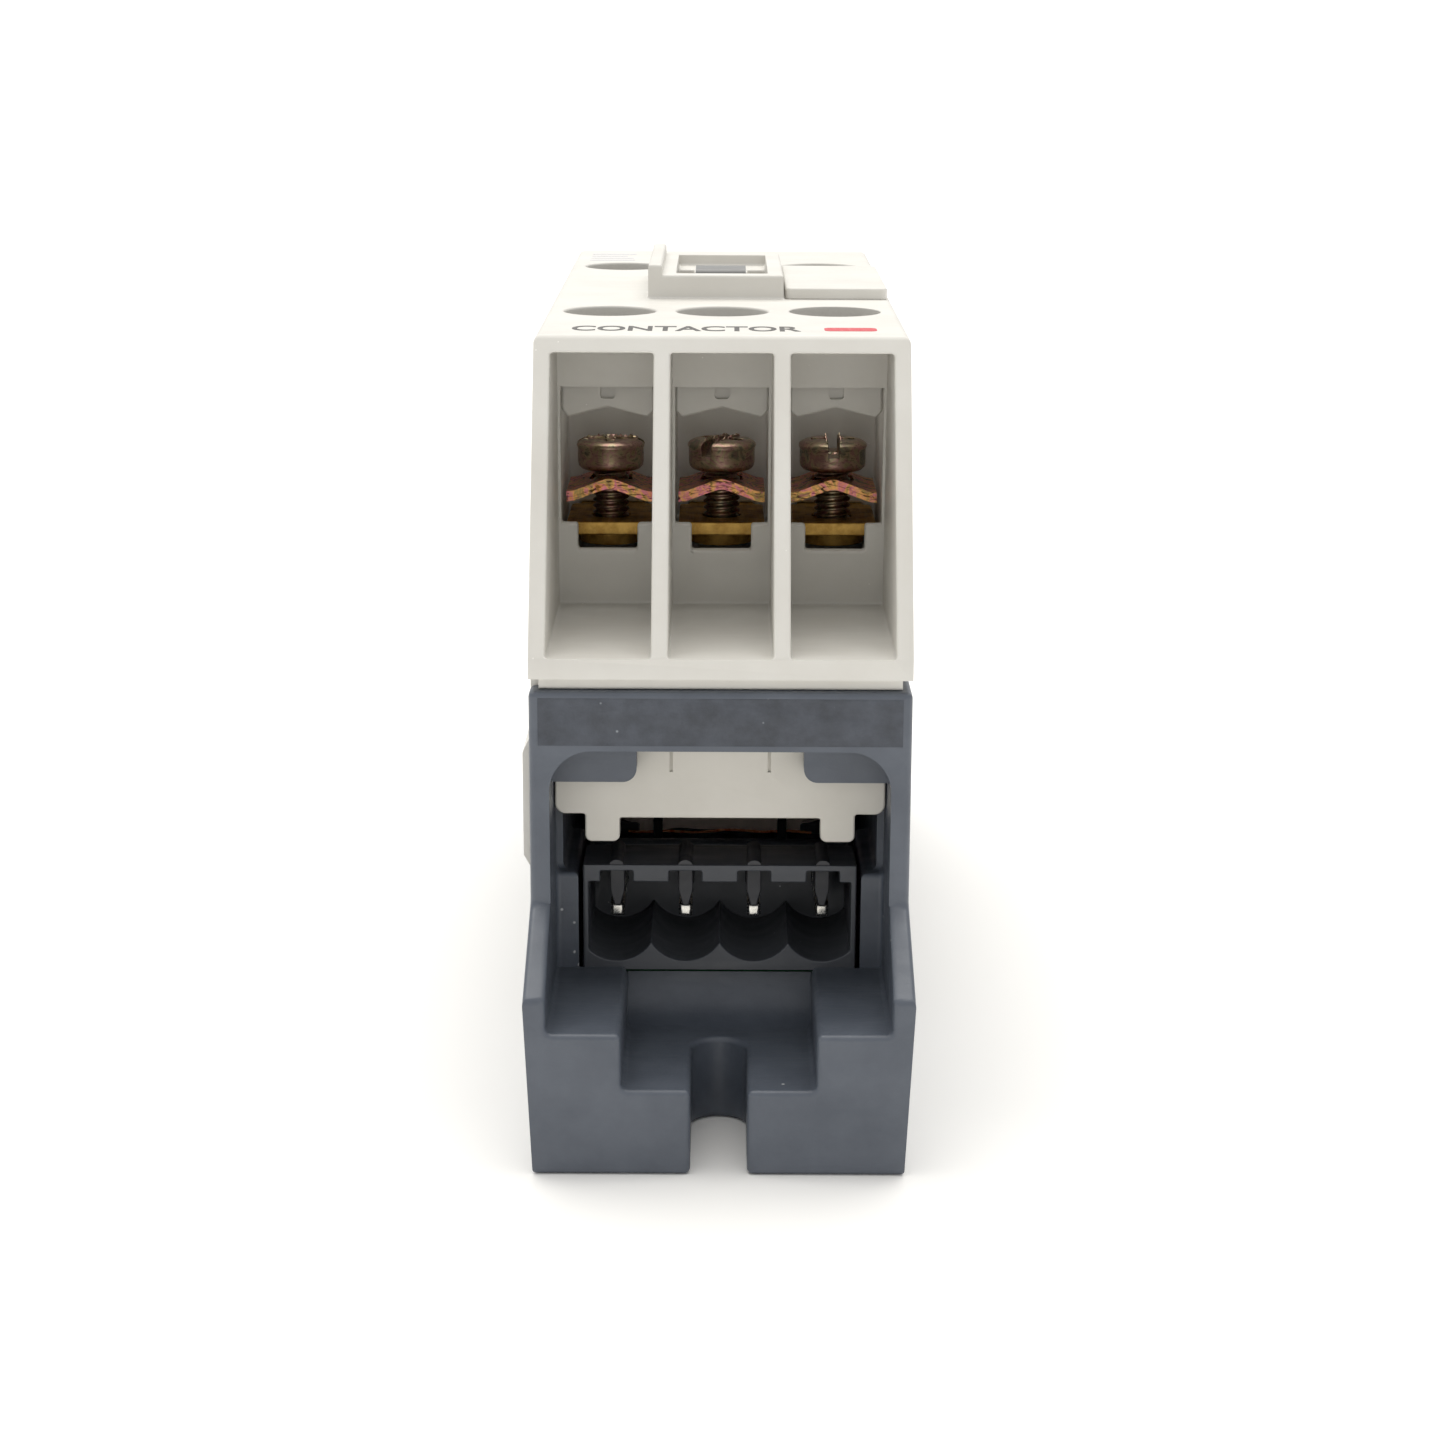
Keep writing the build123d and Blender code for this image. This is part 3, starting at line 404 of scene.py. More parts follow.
# The beam's eroded panel: darker than the rest, with a coarse grain drawn out sideways.
PANEL_PA = MouldedPlastic(
    "Black polyamide, spark-textured panel", "#363A42", "#484D57", "#8F959B", roughness=0.5, streak=1.0,
    grain_mm=0.3, grain_depth_mm=0.05, cloud_mm=1.6, dust_cell_mm=1.7, dust_radius=0.07,
)
CONNECTOR_PA = MouldedPlastic(
    "Black polyamide connector, moulded", "#4C4F55", "#43464B", "#A5A8A9", roughness=0.46, streak=0.2,
)
CARRIER_PHENOLIC = MouldedPlastic(
    "Grey phenolic, compression moulded", "#7B7B7A", "#6E6E6D", "#A8A8A4", roughness=0.42,
)
BOBBIN_PA = MouldedPlastic("Black glass-filled bobbin, moulded", "#3A3B3F", "#313236", "#77797B")
CLIP_POM = MouldedPlastic("Black acetal clip, moulded", "#4A4D53", "#414449", "#97999A", roughness=0.36)
RUBBER = MouldedPlastic("Nitrile rubber pad, moulded", "#1E1E1F", "#19191A", "#404040", roughness=0.75)
EPOXY = MouldedPlastic("Black epoxy package, moulded", "#232325", "#1D1D1F", "#5A5A5A", roughness=0.4)
# Yellow zinc in two baths: screws come out olive brown, saddles pink and copper.
ZINC_SCREW = YellowZinc(
    "Zinc-plated steel screw, yellow passivated",
    ("#7F6F55", "#9C8D70", "#9A7670", "#A8967A", "#7C7864", "#8A6F66"),
)
ZINC_SADDLE = YellowZinc(
    "Zinc-plated steel saddle, yellow passivated",
    ("#8A6238", "#D8935A", "#C77688", "#DDA564", "#9C8652", "#B9687C"), roughness=0.36, drift_mm=1.2,
    crack=0.85,
)
BRASS_STRAP = WorkedMetal("Brass strip, stamped", "#DDB565", "#AD8443", roughness=0.46, patch_mm=1.4)
COPPER_BAR = WorkedMetal("Copper alloy bar, stamped", "#C98A62", "#8F5B3F", roughness=0.3)
SILVER_TIP = WorkedMetal("Silver alloy contact tip, welded", "#DEDCD6", "#A9A7A2", roughness=0.34, patch_mm=0.9)
TINNED_PIN = WorkedMetal("Tinned brass pin, drawn", "#DAD8D2", "#B9B6AE", roughness=0.22)
SPRING_WIRE = WorkedMetal("Steel spring wire, drawn", "#B9BBBE", "#85878A", roughness=0.26)
CORE_IRON = WorkedMetal(
    "Silicon steel laminations, ground", "#A4A5A8", "#74706C", roughness=0.4,
    line_stretch=(0.05, 1.0, 1.0), line_mm=0.3,
)
GROUND_PIN = WorkedMetal("Steel pin, ground", "#C2C3C5", "#94959A", roughness=0.2)
COPPER_WIRE = CoatedFilm("Enamelled copper wire, wound", "#D0703F", "#EAA06C", roughness=0.28, wave_mm=0.5)
COIL_TAPE = CoatedFilm("Polyester coil tape, wrapped", "#EAD6CB", "#F0DCCF", roughness=0.3)
SOLDER_RESIST = CoatedFilm("Green solder resist, screened", "#1E5A37", "#2D6F46", roughness=0.35)
INK_DARK = PatchyCoat("Dark grey pad ink", "#4A4846", "#7E7B76")
INK_RED = PatchyCoat("Red pad ink", "#C8414A", "#DC8D8E")
INK_PALE = PatchyCoat("Pale grey pad ink", "#CECDD0", "#D6D4D2")
FLOOR_LAMINATE = PatchyCoat(
    "White studio laminate, matt", "#F4F3F1", "#F8F7F5", roughness=0.7, patch_mm=180, detail=2.0,
    fray=0.5, steps=(0.3, 0.7),
)


# ---- mesh tools ----


def placed(name: str, data: bpy.types.ID) -> Piece:
    """Put an object with this data in the scene."""
    made = bpy.data.objects.new(name, data)
    bpy.context.scene.collection.objects.link(made)
    return made


def piece_from(bm: Mesh, name: str, smooth: float = 35.0) -> Piece:
    """Turn a bmesh in millimetres into a scene object in metres.

    Args:
        bm: the mesh, which is freed.
        name: the piece's name.
        smooth: edges sharper than this many degrees stay hard.

    Returns:
        The linked object, with its mesh in the row frame.
    """
    bmesh.ops.recalc_face_normals(bm, faces=bm.faces)
    bmesh.ops.scale(bm, vec=(MM, MM, MM), verts=bm.verts)
    for edge in bm.edges:
        hard = len(edge.link_faces) == 2 and edge.calc_face_angle() > math.radians(smooth)
        edge.smooth = not hard
    for face in bm.faces:
        face.smooth = True
    mesh = bpy.data.meshes.new(name)
    bm.to_mesh(mesh)
    bm.free()
    return placed(name, mesh)


def settle(piece: Piece) -> None:
    """Apply every modifier of a piece to its mesh."""
    bpy.context.view_layer.update()
    view = bpy.context.evaluated_depsgraph_get()
    mesh = bpy.data.meshes.new_from_object(piece.evaluated_get(view))
    piece.modifiers.clear()
    old = piece.data
    mesh.name = old.name
    piece.data = mesh


def drop(piece: Piece) -> None:
    """Delete a piece and its mesh."""
    mesh = piece.data
    bpy.data.objects.remove(piece)
    bpy.data.meshes.remove(mesh)


def even_normals(piece: Piece) -> None:
    """Let large faces keep flat normals, so that only the rounds between them shade."""
    step = piece.modifiers.new("normals", "WEIGHTED_NORMAL")
    step.keep_sharp = True
    settle(piece)


@dataclass(frozen=True)
class Rounding:
    """Rounds a mesh's sharp edges and leaves out those that would fold.

    Each width is tried on the edges that are still sharp, so an edge with too little room for
    the first round gets the next.
    """

    widths: tuple[float, ...]
    segments: int = 3
    sharp: float = 35.0
    tries: int = 9

    def can_round(self, edge: bmesh.types.BMEdge, tree: BVHTree, width: float) -> bool:
        """Whether an edge is sharp, with faces wide enough for a round on both their sides.

        Args:
            edge: the edge.
            tree: the mesh's surface.
            width: the rounding's width.

        Returns:
            True if it can be rounded.
        """
        if len(edge.link_faces) != 2 or edge.calc_face_angle() < math.radians(self.sharp):
            return False
        start, end = (v.co for v in edge.verts)
        for loop in edge.link_loops:
            along = loop.link_loop_next.vert.co - loop.vert.co
            inward = loop.face.normal.cross(along).normalized()
            for share in (0.25, 0.5, 0.75):
                place = start.lerp(end, share) + inward * 2.1 * width
                _, normal, _, away = tree.find_nearest(place, 0.02)
                if away is None or normal.dot(loop.face.normal) < 0.9:
                    return False
        return True

    def whole_runs(self, base: Mesh, able: set[int]) -> set[int]:
        """Leave out a bend's edges unless the whole bend can be rounded.

        Args:
            base: the mesh.
            able: the edges that can be rounded.

        Returns:
            Those that are left.
        """
        sharp = {e.index for e in base.edges if len(e.link_faces) == 2
                 and e.calc_face_angle() >= math.radians(self.sharp)}
        changed = True
        while changed:
            changed = False
            for vert in base.verts:
                run = [e.index for e in vert.link_edges if e.index in sharp]
                if len(run) == 2 and (run[0] in able) != (run[1] in able):
                    able = able - set(run)
                    changed = True
        return able

    def faults(self, work: Mesh, tree: BVHTree, width: float) -> list[Vector]:
        """Places where the rounded mesh has left the old surface or turned over.

        Args:
            work: the rounded mesh.
            tree: the mesh before rounding.
            width: the rounding's width.

        Returns:
            Points on or near the old surface.
        """
        found = []
        close = {v.index: tree.find_nearest(v.co, 0.5 * width)[0] is not None for v in work.verts}
        for vert in work.verts:
            if not close[vert.index]:
                near = [e.other_vert(vert) for e in vert.link_edges]
                found += [v.co.copy() for v in near if close[v.index]]
        spread: dict[int, float] = {}
        for loops in work.calc_loop_triangles():
            a, b, c = (loop.vert.co for loop in loops)
            index = loops[0].face.index
            spread[index] = spread.get(index, 0.0) + (b - a).cross(c - a).length / 2
        for face in work.faces:
            if len(face.verts) > 4 and spread[face.index] > 1.05 * face.calc_area() + 0.02:
                found += [v.co.copy() for v in face.verts]
            middle = face.calc_center_median()
            _, normal, _, away = tree.find_nearest(middle, width)
            if away is not None and face.normal.dot(normal) < -0.2 and face.calc_area() > 1e-5:
                found.append(middle)
        return found

    def near(self, span: tuple[Vector, Vector], places: KDTree, reach: float) -> bool:
        """Whether any fault lies within reach of an edge."""
        start, end = span
        steps = max(1, min(300, round((end - start).length / reach)))
        return any(places.find(start.lerp(end, i / steps))[2] < reach for i in range(steps + 1))

    def one_pass(self, base: Mesh, width: float) -> Mesh:
        """Round every edge that has room for one width.

        Args:
            base: the mesh to round, which is freed if a rounded one is returned.
            width: the rounding's width.

        Returns:
            The rounded mesh, or the old one if no set of edges would do.
        """
        tree = BVHTree.FromBMesh(base)
        base.edges.index_update()
        able = {e.index for e in base.edges if self.can_round(e, tree, width)}
        skipped: set[int] = set()
        for attempt in range(self.tries):
            able = self.whole_runs(base, able - skipped)
            work = base.copy()
            work.edges.index_update()
            chosen = [e for e in work.edges if e.index in able]
            spans = {e.index: tuple(v.co.copy() for v in e.verts) for e in chosen}
            bmesh.ops.bevel(
                work, geom=chosen, offset=width, offset_type="OFFSET", segments=self.segments,
                profile=0.5, affect="EDGES", clamp_overlap=False, loop_slide=True, material=-1,
                miter_outer="ARC",
            )
            work.normal_update()
            work.verts.index_update()
            work.faces.index_update()
            found = self.faults(work, tree, width)
            if not found:
                base.free()
                LOG.info("  rounded %d edges by %.2f mm", len(chosen), width)
                return work
            work.free()
            places = KDTree(len(found))
            for index, place in enumerate(found):
                places.insert(place, index)
            places.balance()
            reach = width * (1.2 + 0.4 * attempt)
            skipped |= {i for i, span in spans.items() if self.near(span, places, reach)}
        return base

    def apply(self, bm: Mesh) -> Mesh:
        """Round a mesh with each width in turn."""
        for width in self.widths:
            bm = self.one_pass(bm, width)
        return bm


def cad_mesh(node: str) -> Mesh:
    """A CAD node's surface in millimetres, with its flat faces made whole."""
    bm = bmesh.new()
    bm.from_mesh(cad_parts[node].data)
    bmesh.ops.scale(bm, vec=(1 / MM, 1 / MM, 1 / MM), verts=bm.verts)
    bmesh.ops.remove_doubles(bm, verts=bm.verts, dist=1e-3)
    bmesh.ops.dissolve_limit(bm, angle_limit=math.radians(0.6), verts=bm.verts, edges=bm.edges)
    bm.normal_update()
    return bm


def rounded_copy(node: str, name: str, *widths: float, segments: int = 3) -> Piece:
    """Copy a CAD node to stand for it, with its sharp edges rounded by the widest width that fits."""
    LOG.info("%s", name)
    piece = piece_from(Rounding(widths, segments).apply(cad_mesh(node)), name)
    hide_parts(node)
    return piece


def sweep(ring: Sequence[Sequence[float]], way: Sequence[float], into: Mesh | None = None) -> Mesh:
    """The solid that a flat ring of points leaves as it moves along a vector."""
    bm = into or bmesh.new()
    face = bm.faces.new([bm.verts.new(point) for point in ring])
    moved = bmesh.ops.extrude_face_region(bm, geom=[face])
    verts = [v for v in moved["geom"] if isinstance(v, bmesh.types.BMVert)]
    bmesh.ops.translate(bm, vec=way, verts=verts)
    return bm


def prism(outline: Sequence[Point], y: Point, into: Mesh | None = None) -> Mesh:
    """A solid with an (X, Z) outline between two Y values, in millimetres."""
    return sweep([(x, y[0], z) for x, z in outline], (0, y[1] - y[0], 0), into)


def upright_box(x: Point, z: Point) -> list[Point]:
    """A rectangle's (X, Z) outline."""
    return [(x[0], z[0]), (x[1], z[0]), (x[1], z[1]), (x[0], z[1])]


def soft_box(x: Point, y: Point, radius: float, steps: int) -> list[Point]:
    """A rectangle's (X, Y) outline with round corners.

    Args:
        x: its range in X.
        y: its range in Y.
        radius: its corners' radius.
        steps: how many parts make up a corner.

    Returns:
        The outline's points, anticlockwise.
    """
    right, left, back, front = x[1] - radius, x[0] + radius, y[1] - radius, y[0] + radius
    points = []
    for quarter, (cx, cy) in enumerate(((right, back), (left, back), (left, front), (right, front))):
        for i in range(steps + 1):
            a = math.pi / 2 * (quarter + i / steps)
            points.append((cx + radius * math.cos(a), cy + radius * math.sin(a)))
    return points


def loft(
    rings: Sequence[Sequence[Sequence[float]]], around: bool = False, into: Mesh | None = None,
) -> Mesh:
    """Skin a row of rings that all have the same number of points.

    Args:
        rings: the rings.
        around: whether the last ring joins the first, where each would otherwise be capped.
        into: the mesh to add to, if not a new one.

    Returns:
        The mesh.
    """
    bm = into or bmesh.new()
    made = [[bm.verts.new(point) for point in ring] for ring in rings]
    count = len(made[0])
    for low, high in zip(made, made[1:] + made[:around]):
        for i in range(count):
            j = (i + 1) % count
            bm.faces.new((low[i], low[j], high[j], high[i]))
    if not around:
        bm.faces.new(made[0])
        bm.faces.new(made[-1][::-1])
    return bm


def polar(radius: float, turn: float) -> Point:
    """The point at a radius and an angle in radians."""
    return radius * math.cos(turn), radius * math.sin(turn)


def lathe(profile: Sequence[Point], steps: int = 64) -> Mesh:
    """A solid of revolution about Z from (radius, Z) points, with flat ends."""
    turns = [2 * math.pi * i / steps for i in range(steps)]
    return loft([[(*polar(radius, a), z) for a in turns] for radius, z in profile])


def tube_along(line: Sequence[Vector], radius: float, sides: int = 12) -> Mesh:
    """A round wire along a centreline, with a number of faces round it."""
    rings = []
    for i, point in enumerate(line):
        ahead = (line[min(i + 1, len(line) - 1)] - line[max(i - 1, 0)]).normalized()
        side = ahead.cross(Vector((0, 0, 1)))
        side = side.normalized() if side.length > 1e-6 else Vector((1, 0, 0))
        up = side.cross(ahead).normalized()
        turns = [2 * math.pi * k / sides for k in range(sides)]
        rings.append([point + radius * (math.cos(a) * side + math.sin(a) * up) for a in turns])
    return loft(rings)


def cut(piece: Piece, cutters: Iterable[Mesh]) -> None:
    """Cut shapes, in millimetres, out of a piece exactly."""
    tools = [piece_from(bm, f"{piece.name}_cutter") for bm in cutters]
    for tool in tools:
        step = piece.modifiers.new("cut", "BOOLEAN")
        step.operation = "DIFFERENCE"
        step.solver = "EXACT"
        step.object = tool
    settle(piece)
    for tool in tools:
        drop(tool)


def finish_piece(piece: Piece, body: str, finish: Finish) -> None:
    """Dress a piece, put it on its CAD body and log it."""
    even_normals(piece)
    finish.dress(piece)
    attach(piece, body)
    LOG.info("%s: %d faces on %s, %s", piece.name, len(piece.data.polygons), body, finish.name)


def dress_copy(
    node: str, name: str, widths: Sequence[float], body: str, finish: Finish, segments: int = 3,
) -> None:
    """Round a copy of a CAD node and finish it, as rounded_copy and finish_piece say."""
    finish_piece(rounded_copy(node, name, *widths, segments=segments), body, finish)


# ---- sub-assemblies ----


@dataclass
class Housings:
    """The black base, the light grey terminal housing and the plates on them."""

    groove_at: float = 3.55
    groove_width: float = 0.24
    groove_depth: float = 0.22
    groove_z: Point = (26.0, 34.0)
    plate_front: float = -37.6
    pocket_half: float = 6.86
    pocket_back: float = 34.8
    pocket_floor: float = 6.3
    cove_radius: float = 3.4
    cove_steps: int = 14
    sunk: float = 0.02
    panel_half: float = 12.85
    panel_z: Point = (29.3, 32.75)
    panel_face: float = -42.6
    panel_proud: float = 0.03

    def cover_plate(self) -> None:
        """The plate behind the beam, with the two witness lines of its locating tab."""
        plate = rounded_copy("coil_cover_plate", "coil_cover_plate_moulding", 0.16)
        half, y = self.groove_width / 2, (self.plate_front - 1, self.plate_front + self.groove_depth)
        places = (-self.groove_at, self.groove_at)
        cut(plate, [prism(upright_box((x - half, x + half), self.groove_z), y) for x in places])
        finish_piece(plate, "frame", GREY_PLATE_PBT)

    def cove(self, end: End) -> None:
        """The hollow round between a foot pocket's floor and its back wall."""
        radius, back, floor = self.cove_radius, self.pocket_back, self.pocket_floor
        section = [(back - self.sunk, floor - self.sunk), (back + radius, floor - self.sunk)]
        for i in range(self.cove_steps + 1):
            a = math.pi / 2 * i / self.cove_steps
            section.append((back + radius * (1 - math.sin(a)), floor + radius * (1 - math.cos(a))))
        sides = (-self.pocket_half, self.pocket_half)
        bm = loft([[(x, end.value * y, z) for y, z in section] for x in sides])
        piece = piece_from(bm, f"{end.name.lower()}_pocket_cove")
        finish_piece(piece, "frame", BLACK_PA)

    def panel(self) -> None:
        """The textured panel on the beam's face, which stands just proud of it."""
        outline = upright_box((-self.panel_half, self.panel_half), self.panel_z)
        skin = prism(outline, (self.panel_face - self.panel_proud, self.panel_face + 0.1))
        bmesh.ops.bevel(skin, geom=skin.edges[:], offset=0.02, segments=2, affect="EDGES")
        finish_piece(piece_from(skin, "beam_panel"), "frame", PANEL_PA)

    def build(self) -> None:
        """Make and dress each housing piece."""
        self.cove(End.LINE)
        self.panel()
        widths = (0.42, 0.2, 0.1)
        dress_copy("base_housing", "base_housing_moulding", widths, "frame", BLACK_PA, segments=4)
        for node, widths in (("terminal_housing", (0.22, 0.1)), ("marker_plate", (0.1,))):
            dress_copy(node, f"{node}_moulding", widths, "frame", GREY_PBT)
        self.cover_plate()


@dataclass
class Connector:
    """The coil connector with its pins, board and the parts on it."""

    pitch: float = 5.08
    front: float = -36.0
    rear: float = -24.4
    top: float = 18.4
    half: float = 11.0
    ridge: Point = (0.525, 0.42)
    ridge_sunk: float = 0.06
    ridge_steps: int = 12
    web_half: float = 0.55
    web_tip: float = 0.22
    web_taper: float = 1.2
    web_z: Point = (14.75, 18.0)
    web_y: Point = (-34.4, -30.9)
    roof_end: float = -30.9
    rear_top: float = 16.9

    @property
    def ways(self) -> tuple[float, ...]:
        """X of each way."""
        return tuple(self.pitch * (i - 1.5) for i in range(4))

    def ridges(self) -> None:
        """A half-round ridge along the shroud's top over each way."""
        bm = bmesh.new()
        (wide, tall), level = self.ridge, self.top - self.ridge_sunk
        turns = [math.pi * i / self.ridge_steps for i in range(self.ridge_steps + 1)]
        for x in self.ways:
            arc = [(x + wide * math.cos(a), level + tall * math.sin(a)) for a in turns]
            loft([[(px, y, z) for px, z in arc] for y in (self.front + 0.12, self.roof_end - 0.1)], into=bm)
        finish_piece(piece_from(bm, "header_top_ridges", 60), "frame", BOBBIN_PA)

    def webs(self) -> None:
        """The tapered web between each pin and the shroud's roof."""
        for number, x in enumerate(self.ways, start=1):
            half, tip, (low, high) = self.web_half, self.web_tip, self.web_z
            wide = low + self.web_taper
            outline = [
                (x - tip, low), (x + tip, low), (x + half, wide), (x + half, high),
                (x - half, high), (x - half, wide),
            ]
            bm = Rounding((0.12,)).apply(prism(outline, self.web_y))
            finish_piece(piece_from(bm, f"header_web_{number}"), "frame", BOBBIN_PA)

    def build(self) -> None:
        """Make and dress the connector's pieces."""
        parts = (
            ("header_shroud", (0.12, 0.06), CONNECTOR_PA, "connector_plastic"),
            ("header_pins", (0.06,), TINNED_PIN, "tinned_pin"),
            ("coil_board", (0.05,), SOLDER_RESIST, "board"),
            ("board_parts", (0.12,), EPOXY, "component_black"),
            ("coil_leads", (0.1,), RUBBER, "copper_wire"),
        )
        for node, widths, finish, slot in parts:
            piece = rounded_copy(node, f"{node}_detail", *widths)
            if node == "header_shroud":
                spare = upright_box((-self.half, self.half), (self.rear_top, self.top + 1.6))
                cut(piece, [prism(spare, (self.roof_end, self.rear + 1))])
            finish_piece(piece, "frame", finish)
        self.ridges()
        self.webs()


@dataclass
class Coil:
    """The spool with its wound wire and the tape over it."""

    half: Point = (8.2, 15.5)
    corner: float = 2.5
    bottom: float = 15.6
    top: float = 25.5
    wire: float = 0.3
    bulge: float = 0.1
    tape_bottom: float = 15.05
    tape_top: float = 25.3
    tape_grow: Point = (0.52, 0.62)
    tape_wave: float = 0.12
    lead_radius: float = 0.11
    lead_half: float = 7.4
    lead_steps: int = 60
    lead_wave: float = 0.13
    corner_steps: int = 8
    turn_steps: int = 6
    bore: Point = (0.57, 0.66)
    tape_step: float = 0.5

    def outline(self, grow: float) -> list[Point]:
        """The winding's rounded rectangle, grown outwards by a margin."""
        x, y = self.half[0] + grow, self.half[1] + grow
        return soft_box((-x, x), (-y, y), self.corner + grow, self.corner_steps)

    def sides(self, grow: float, step: float) -> list[Point]:
        """The same outline with its straight runs divided, for waves along them."""
        corners = self.outline(grow)
        found = []
        for (x0, y0), (x1, y1) in zip(corners, corners[1:] + corners[:1]):
            parts = max(1, round(math.dist((x0, y0), (x1, y1)) / step))
            found += [(x0 + (x1 - x0) * i / parts, y0 + (y1 - y0) * i / parts) for i in range(parts)]
        return found

    def winding(self) -> Piece:
        """The wire's layers, each turn a round ridge, round the spool's tube."""
        turns = round((self.top - self.bottom) / self.wire)
        pitch = (self.top - self.bottom) / turns
        inner = [(x * self.bore[0], y * self.bore[1]) for x, y in self.outline(-self.bulge)]
        rings = [[(x, y, self.bottom) for x, y in inner]]
        for turn in range(turns):
            for i in range(self.turn_steps):
                a = math.pi * i / self.turn_steps
                z = self.bottom + pitch * (turn + (1 - math.cos(a)) / 2)
                rings.append([(x, y, z) for x, y in self.outline(self.bulge * (math.sin(a) - 1))])
        rings.append([(x, y, self.top) for x, y in inner])
        return piece_from(loft(rings, around=True), "coil_winding_turns", 80)

    def tape(self) -> Piece:
        """The tape, whose lower edge wanders over the last turns of wire."""
        inner, outer = (self.sides(grow, self.tape_step) for grow in self.tape_grow)
        rings = []
        for points, upper in ((outer, False), (outer, True), (inner, True), (inner, False)):
            ring = []
            for i, (x, y) in enumerate(points):
                run = 2 * math.pi * i / len(points)
                wave = self.tape_wave * (math.sin(9 * run) + 0.6 * math.sin(23 * run + 1.0))
                ring.append((x, y, self.tape_top if upper else self.tape_bottom + wave))
            rings.append(ring)
        return piece_from(loft(rings, around=True), "coil_tape_wrap", 50)

    def lead(self) -> Piece:
        """The copper tail that is led along the tape's lower edge."""
        rng = random.Random(5)
        y = -self.half[1] - self.tape_grow[1] - 0.05
        line = []
        for i in range(self.lead_steps + 1):
            x = self.lead_half * (2 * i / self.lead_steps - 1)
            wave = self.lead_wave * math.sin(0.9 * x + 0.6) * math.cos(0.37 * x)
            line.append(Vector((x, y, self.tape_bottom - 0.1 + wave + rng.uniform(-0.01, 0.01))))
        return piece_from(tube_along(line, self.lead_radius, 10), "coil_lead_wire", 60)

    def build(self) -> None:
        """Make and dress the coil."""
        finish_piece(self.lead(), "frame", COPPER_WIRE)
        dress_copy("coil_bobbin", "coil_bobbin_spool", (0.12,), "frame", BOBBIN_PA)
        winding = self.winding()
        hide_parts("coil_winding")
        finish_piece(winding, "frame", COPPER_WIRE)
        tape = self.tape()
        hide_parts("coil_tape")
        finish_piece(tape, "frame", COIL_TAPE)


@dataclass
class Magnet:
    """The fixed iron on its rubber pad, and the armature with its pin."""

    sheet: float = 0.5
    gap: float = 0.03
    core_below: float = 15.0
    yokes: Point = (3.8, 3.6)
    outer_leg: float = 8.95
    middle_leg: float = 3.6

    def laminated(self, node: str, name: str) -> Piece:
        """A stack of E-shaped sheets with the CAD iron's outline."""
        low, high = (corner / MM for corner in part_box(node))
        if low.z < self.core_below:
            far, root, tip = low.z, low.z + self.yokes[0], high.z
        else:
            far, root, tip = high.z, high.z - self.yokes[1], low.z
        outer, middle = self.outer_leg, self.middle_leg
        outline = [
            (low.x, far), (high.x, far), (high.x, tip), (outer, tip), (outer, root), (middle, root),
            (middle, tip), (-middle, tip), (-middle, root), (-outer, root), (-outer, tip), (low.x, tip),
        ]
        stack = bmesh.new()
        count = round((high.y - low.y) / self.sheet)
        pitch = (high.y - low.y) / count
        for i in range(count):
            start = low.y + i * pitch
            prism(outline, (start + self.gap / 2, start + pitch - self.gap / 2), stack)
        piece = piece_from(stack, name)
        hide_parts(node)
        return piece

    def build(self) -> None:
        """Make and dress the magnet's pieces."""
        finish_piece(self.laminated("fixed_core", "fixed_core_stack"), "frame", CORE_IRON)
        finish_piece(self.laminated("armature", "armature_stack"), "carrier", CORE_IRON)
        dress_copy("core_cushion", "core_cushion_pad", (0.2,), "frame", RUBBER)
        dress_copy("armature_pin", "armature_pin_ground", (0.08,), "carrier", GROUND_PIN)


@dataclass
class CoilSpring:
    """A compression spring with closed ends, wound in round wire."""

    name: str
    node: str
    body: str
    joint: str
    radius: float
    wire: float
    turns: float
    travel: float
    fixed_top: bool
    steps: int = 28

    def build(self) -> None:
        """Wind the spring between its seats."""
        low, high = (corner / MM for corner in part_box(self.node))
        x, y = (low.x + high.x) / 2, (low.y + high.y) / 2
        start, end = low.z + self.wire, high.z - self.wire
        points = []
        count = round(self.turns * self.steps)
        closed = self.steps
        for i in range(count + 1):
            share = min(1.0, max(0.0, (i - closed) / (count - 2 * closed)))
            ends = 2 * self.wire * 0.98
            lift = share * (end - start - 2 * ends)
            lift += ends * min(1.0, i / closed) + ends * max(0.0, (i - count + closed) / closed)
            a = 2 * math.pi * i / self.steps
            points.append(Vector((x + self.radius * math.cos(a), y + self.radius * math.sin(a), start + lift)))
        piece = piece_from(tube_along(points, self.wire), self.name, 60)
        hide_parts(self.node)
        finish_piece(piece, self.body, SPRING_WIRE)
        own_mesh(piece)


@dataclass
class ContactSystem:
    """The moving carrier with its bridges, tips and springs, and the fixed tips."""

    travel: float = 3.2
    overtravel: float = 1.2

    def build(self) -> None:
        """Make and dress the contact system."""
        moulding = "contact_carrier_moulding"
        dress_copy("contact_carrier", moulding, (0.14,), "carrier", CARRIER_PHENOLIC)
        dress_copy("fixed_tips", "fixed_contact_tips", (0.15,), "frame", SILVER_TIP)
        for number in (1, 2, 3):
            bridge, tips = f"contact_bridge_{number}", f"bridge_tips_{number}"
            dress_copy(bridge, f"{bridge}_bar", (0.14,), f"bridge_{number}", COPPER_BAR)
            dress_copy(tips, f"{tips}_pair", (0.15,), f"bridge_{number}", SILVER_TIP)
            CoilSpring(
                f"contact_spring_{number}_wire", f"contact_spring_{number}", "carrier",
                f"bridge_{number}_lift", 1.52, 0.26, 6.5, self.overtravel, True,
            ).build()
        for place in ("line", "load"):
            CoilSpring(
                f"return_spring_{place}_wire", f"return_spring_{place}", "frame", "carrier_slide",
                1.92, 0.25, 6.5, self.travel, False,
            ).build()


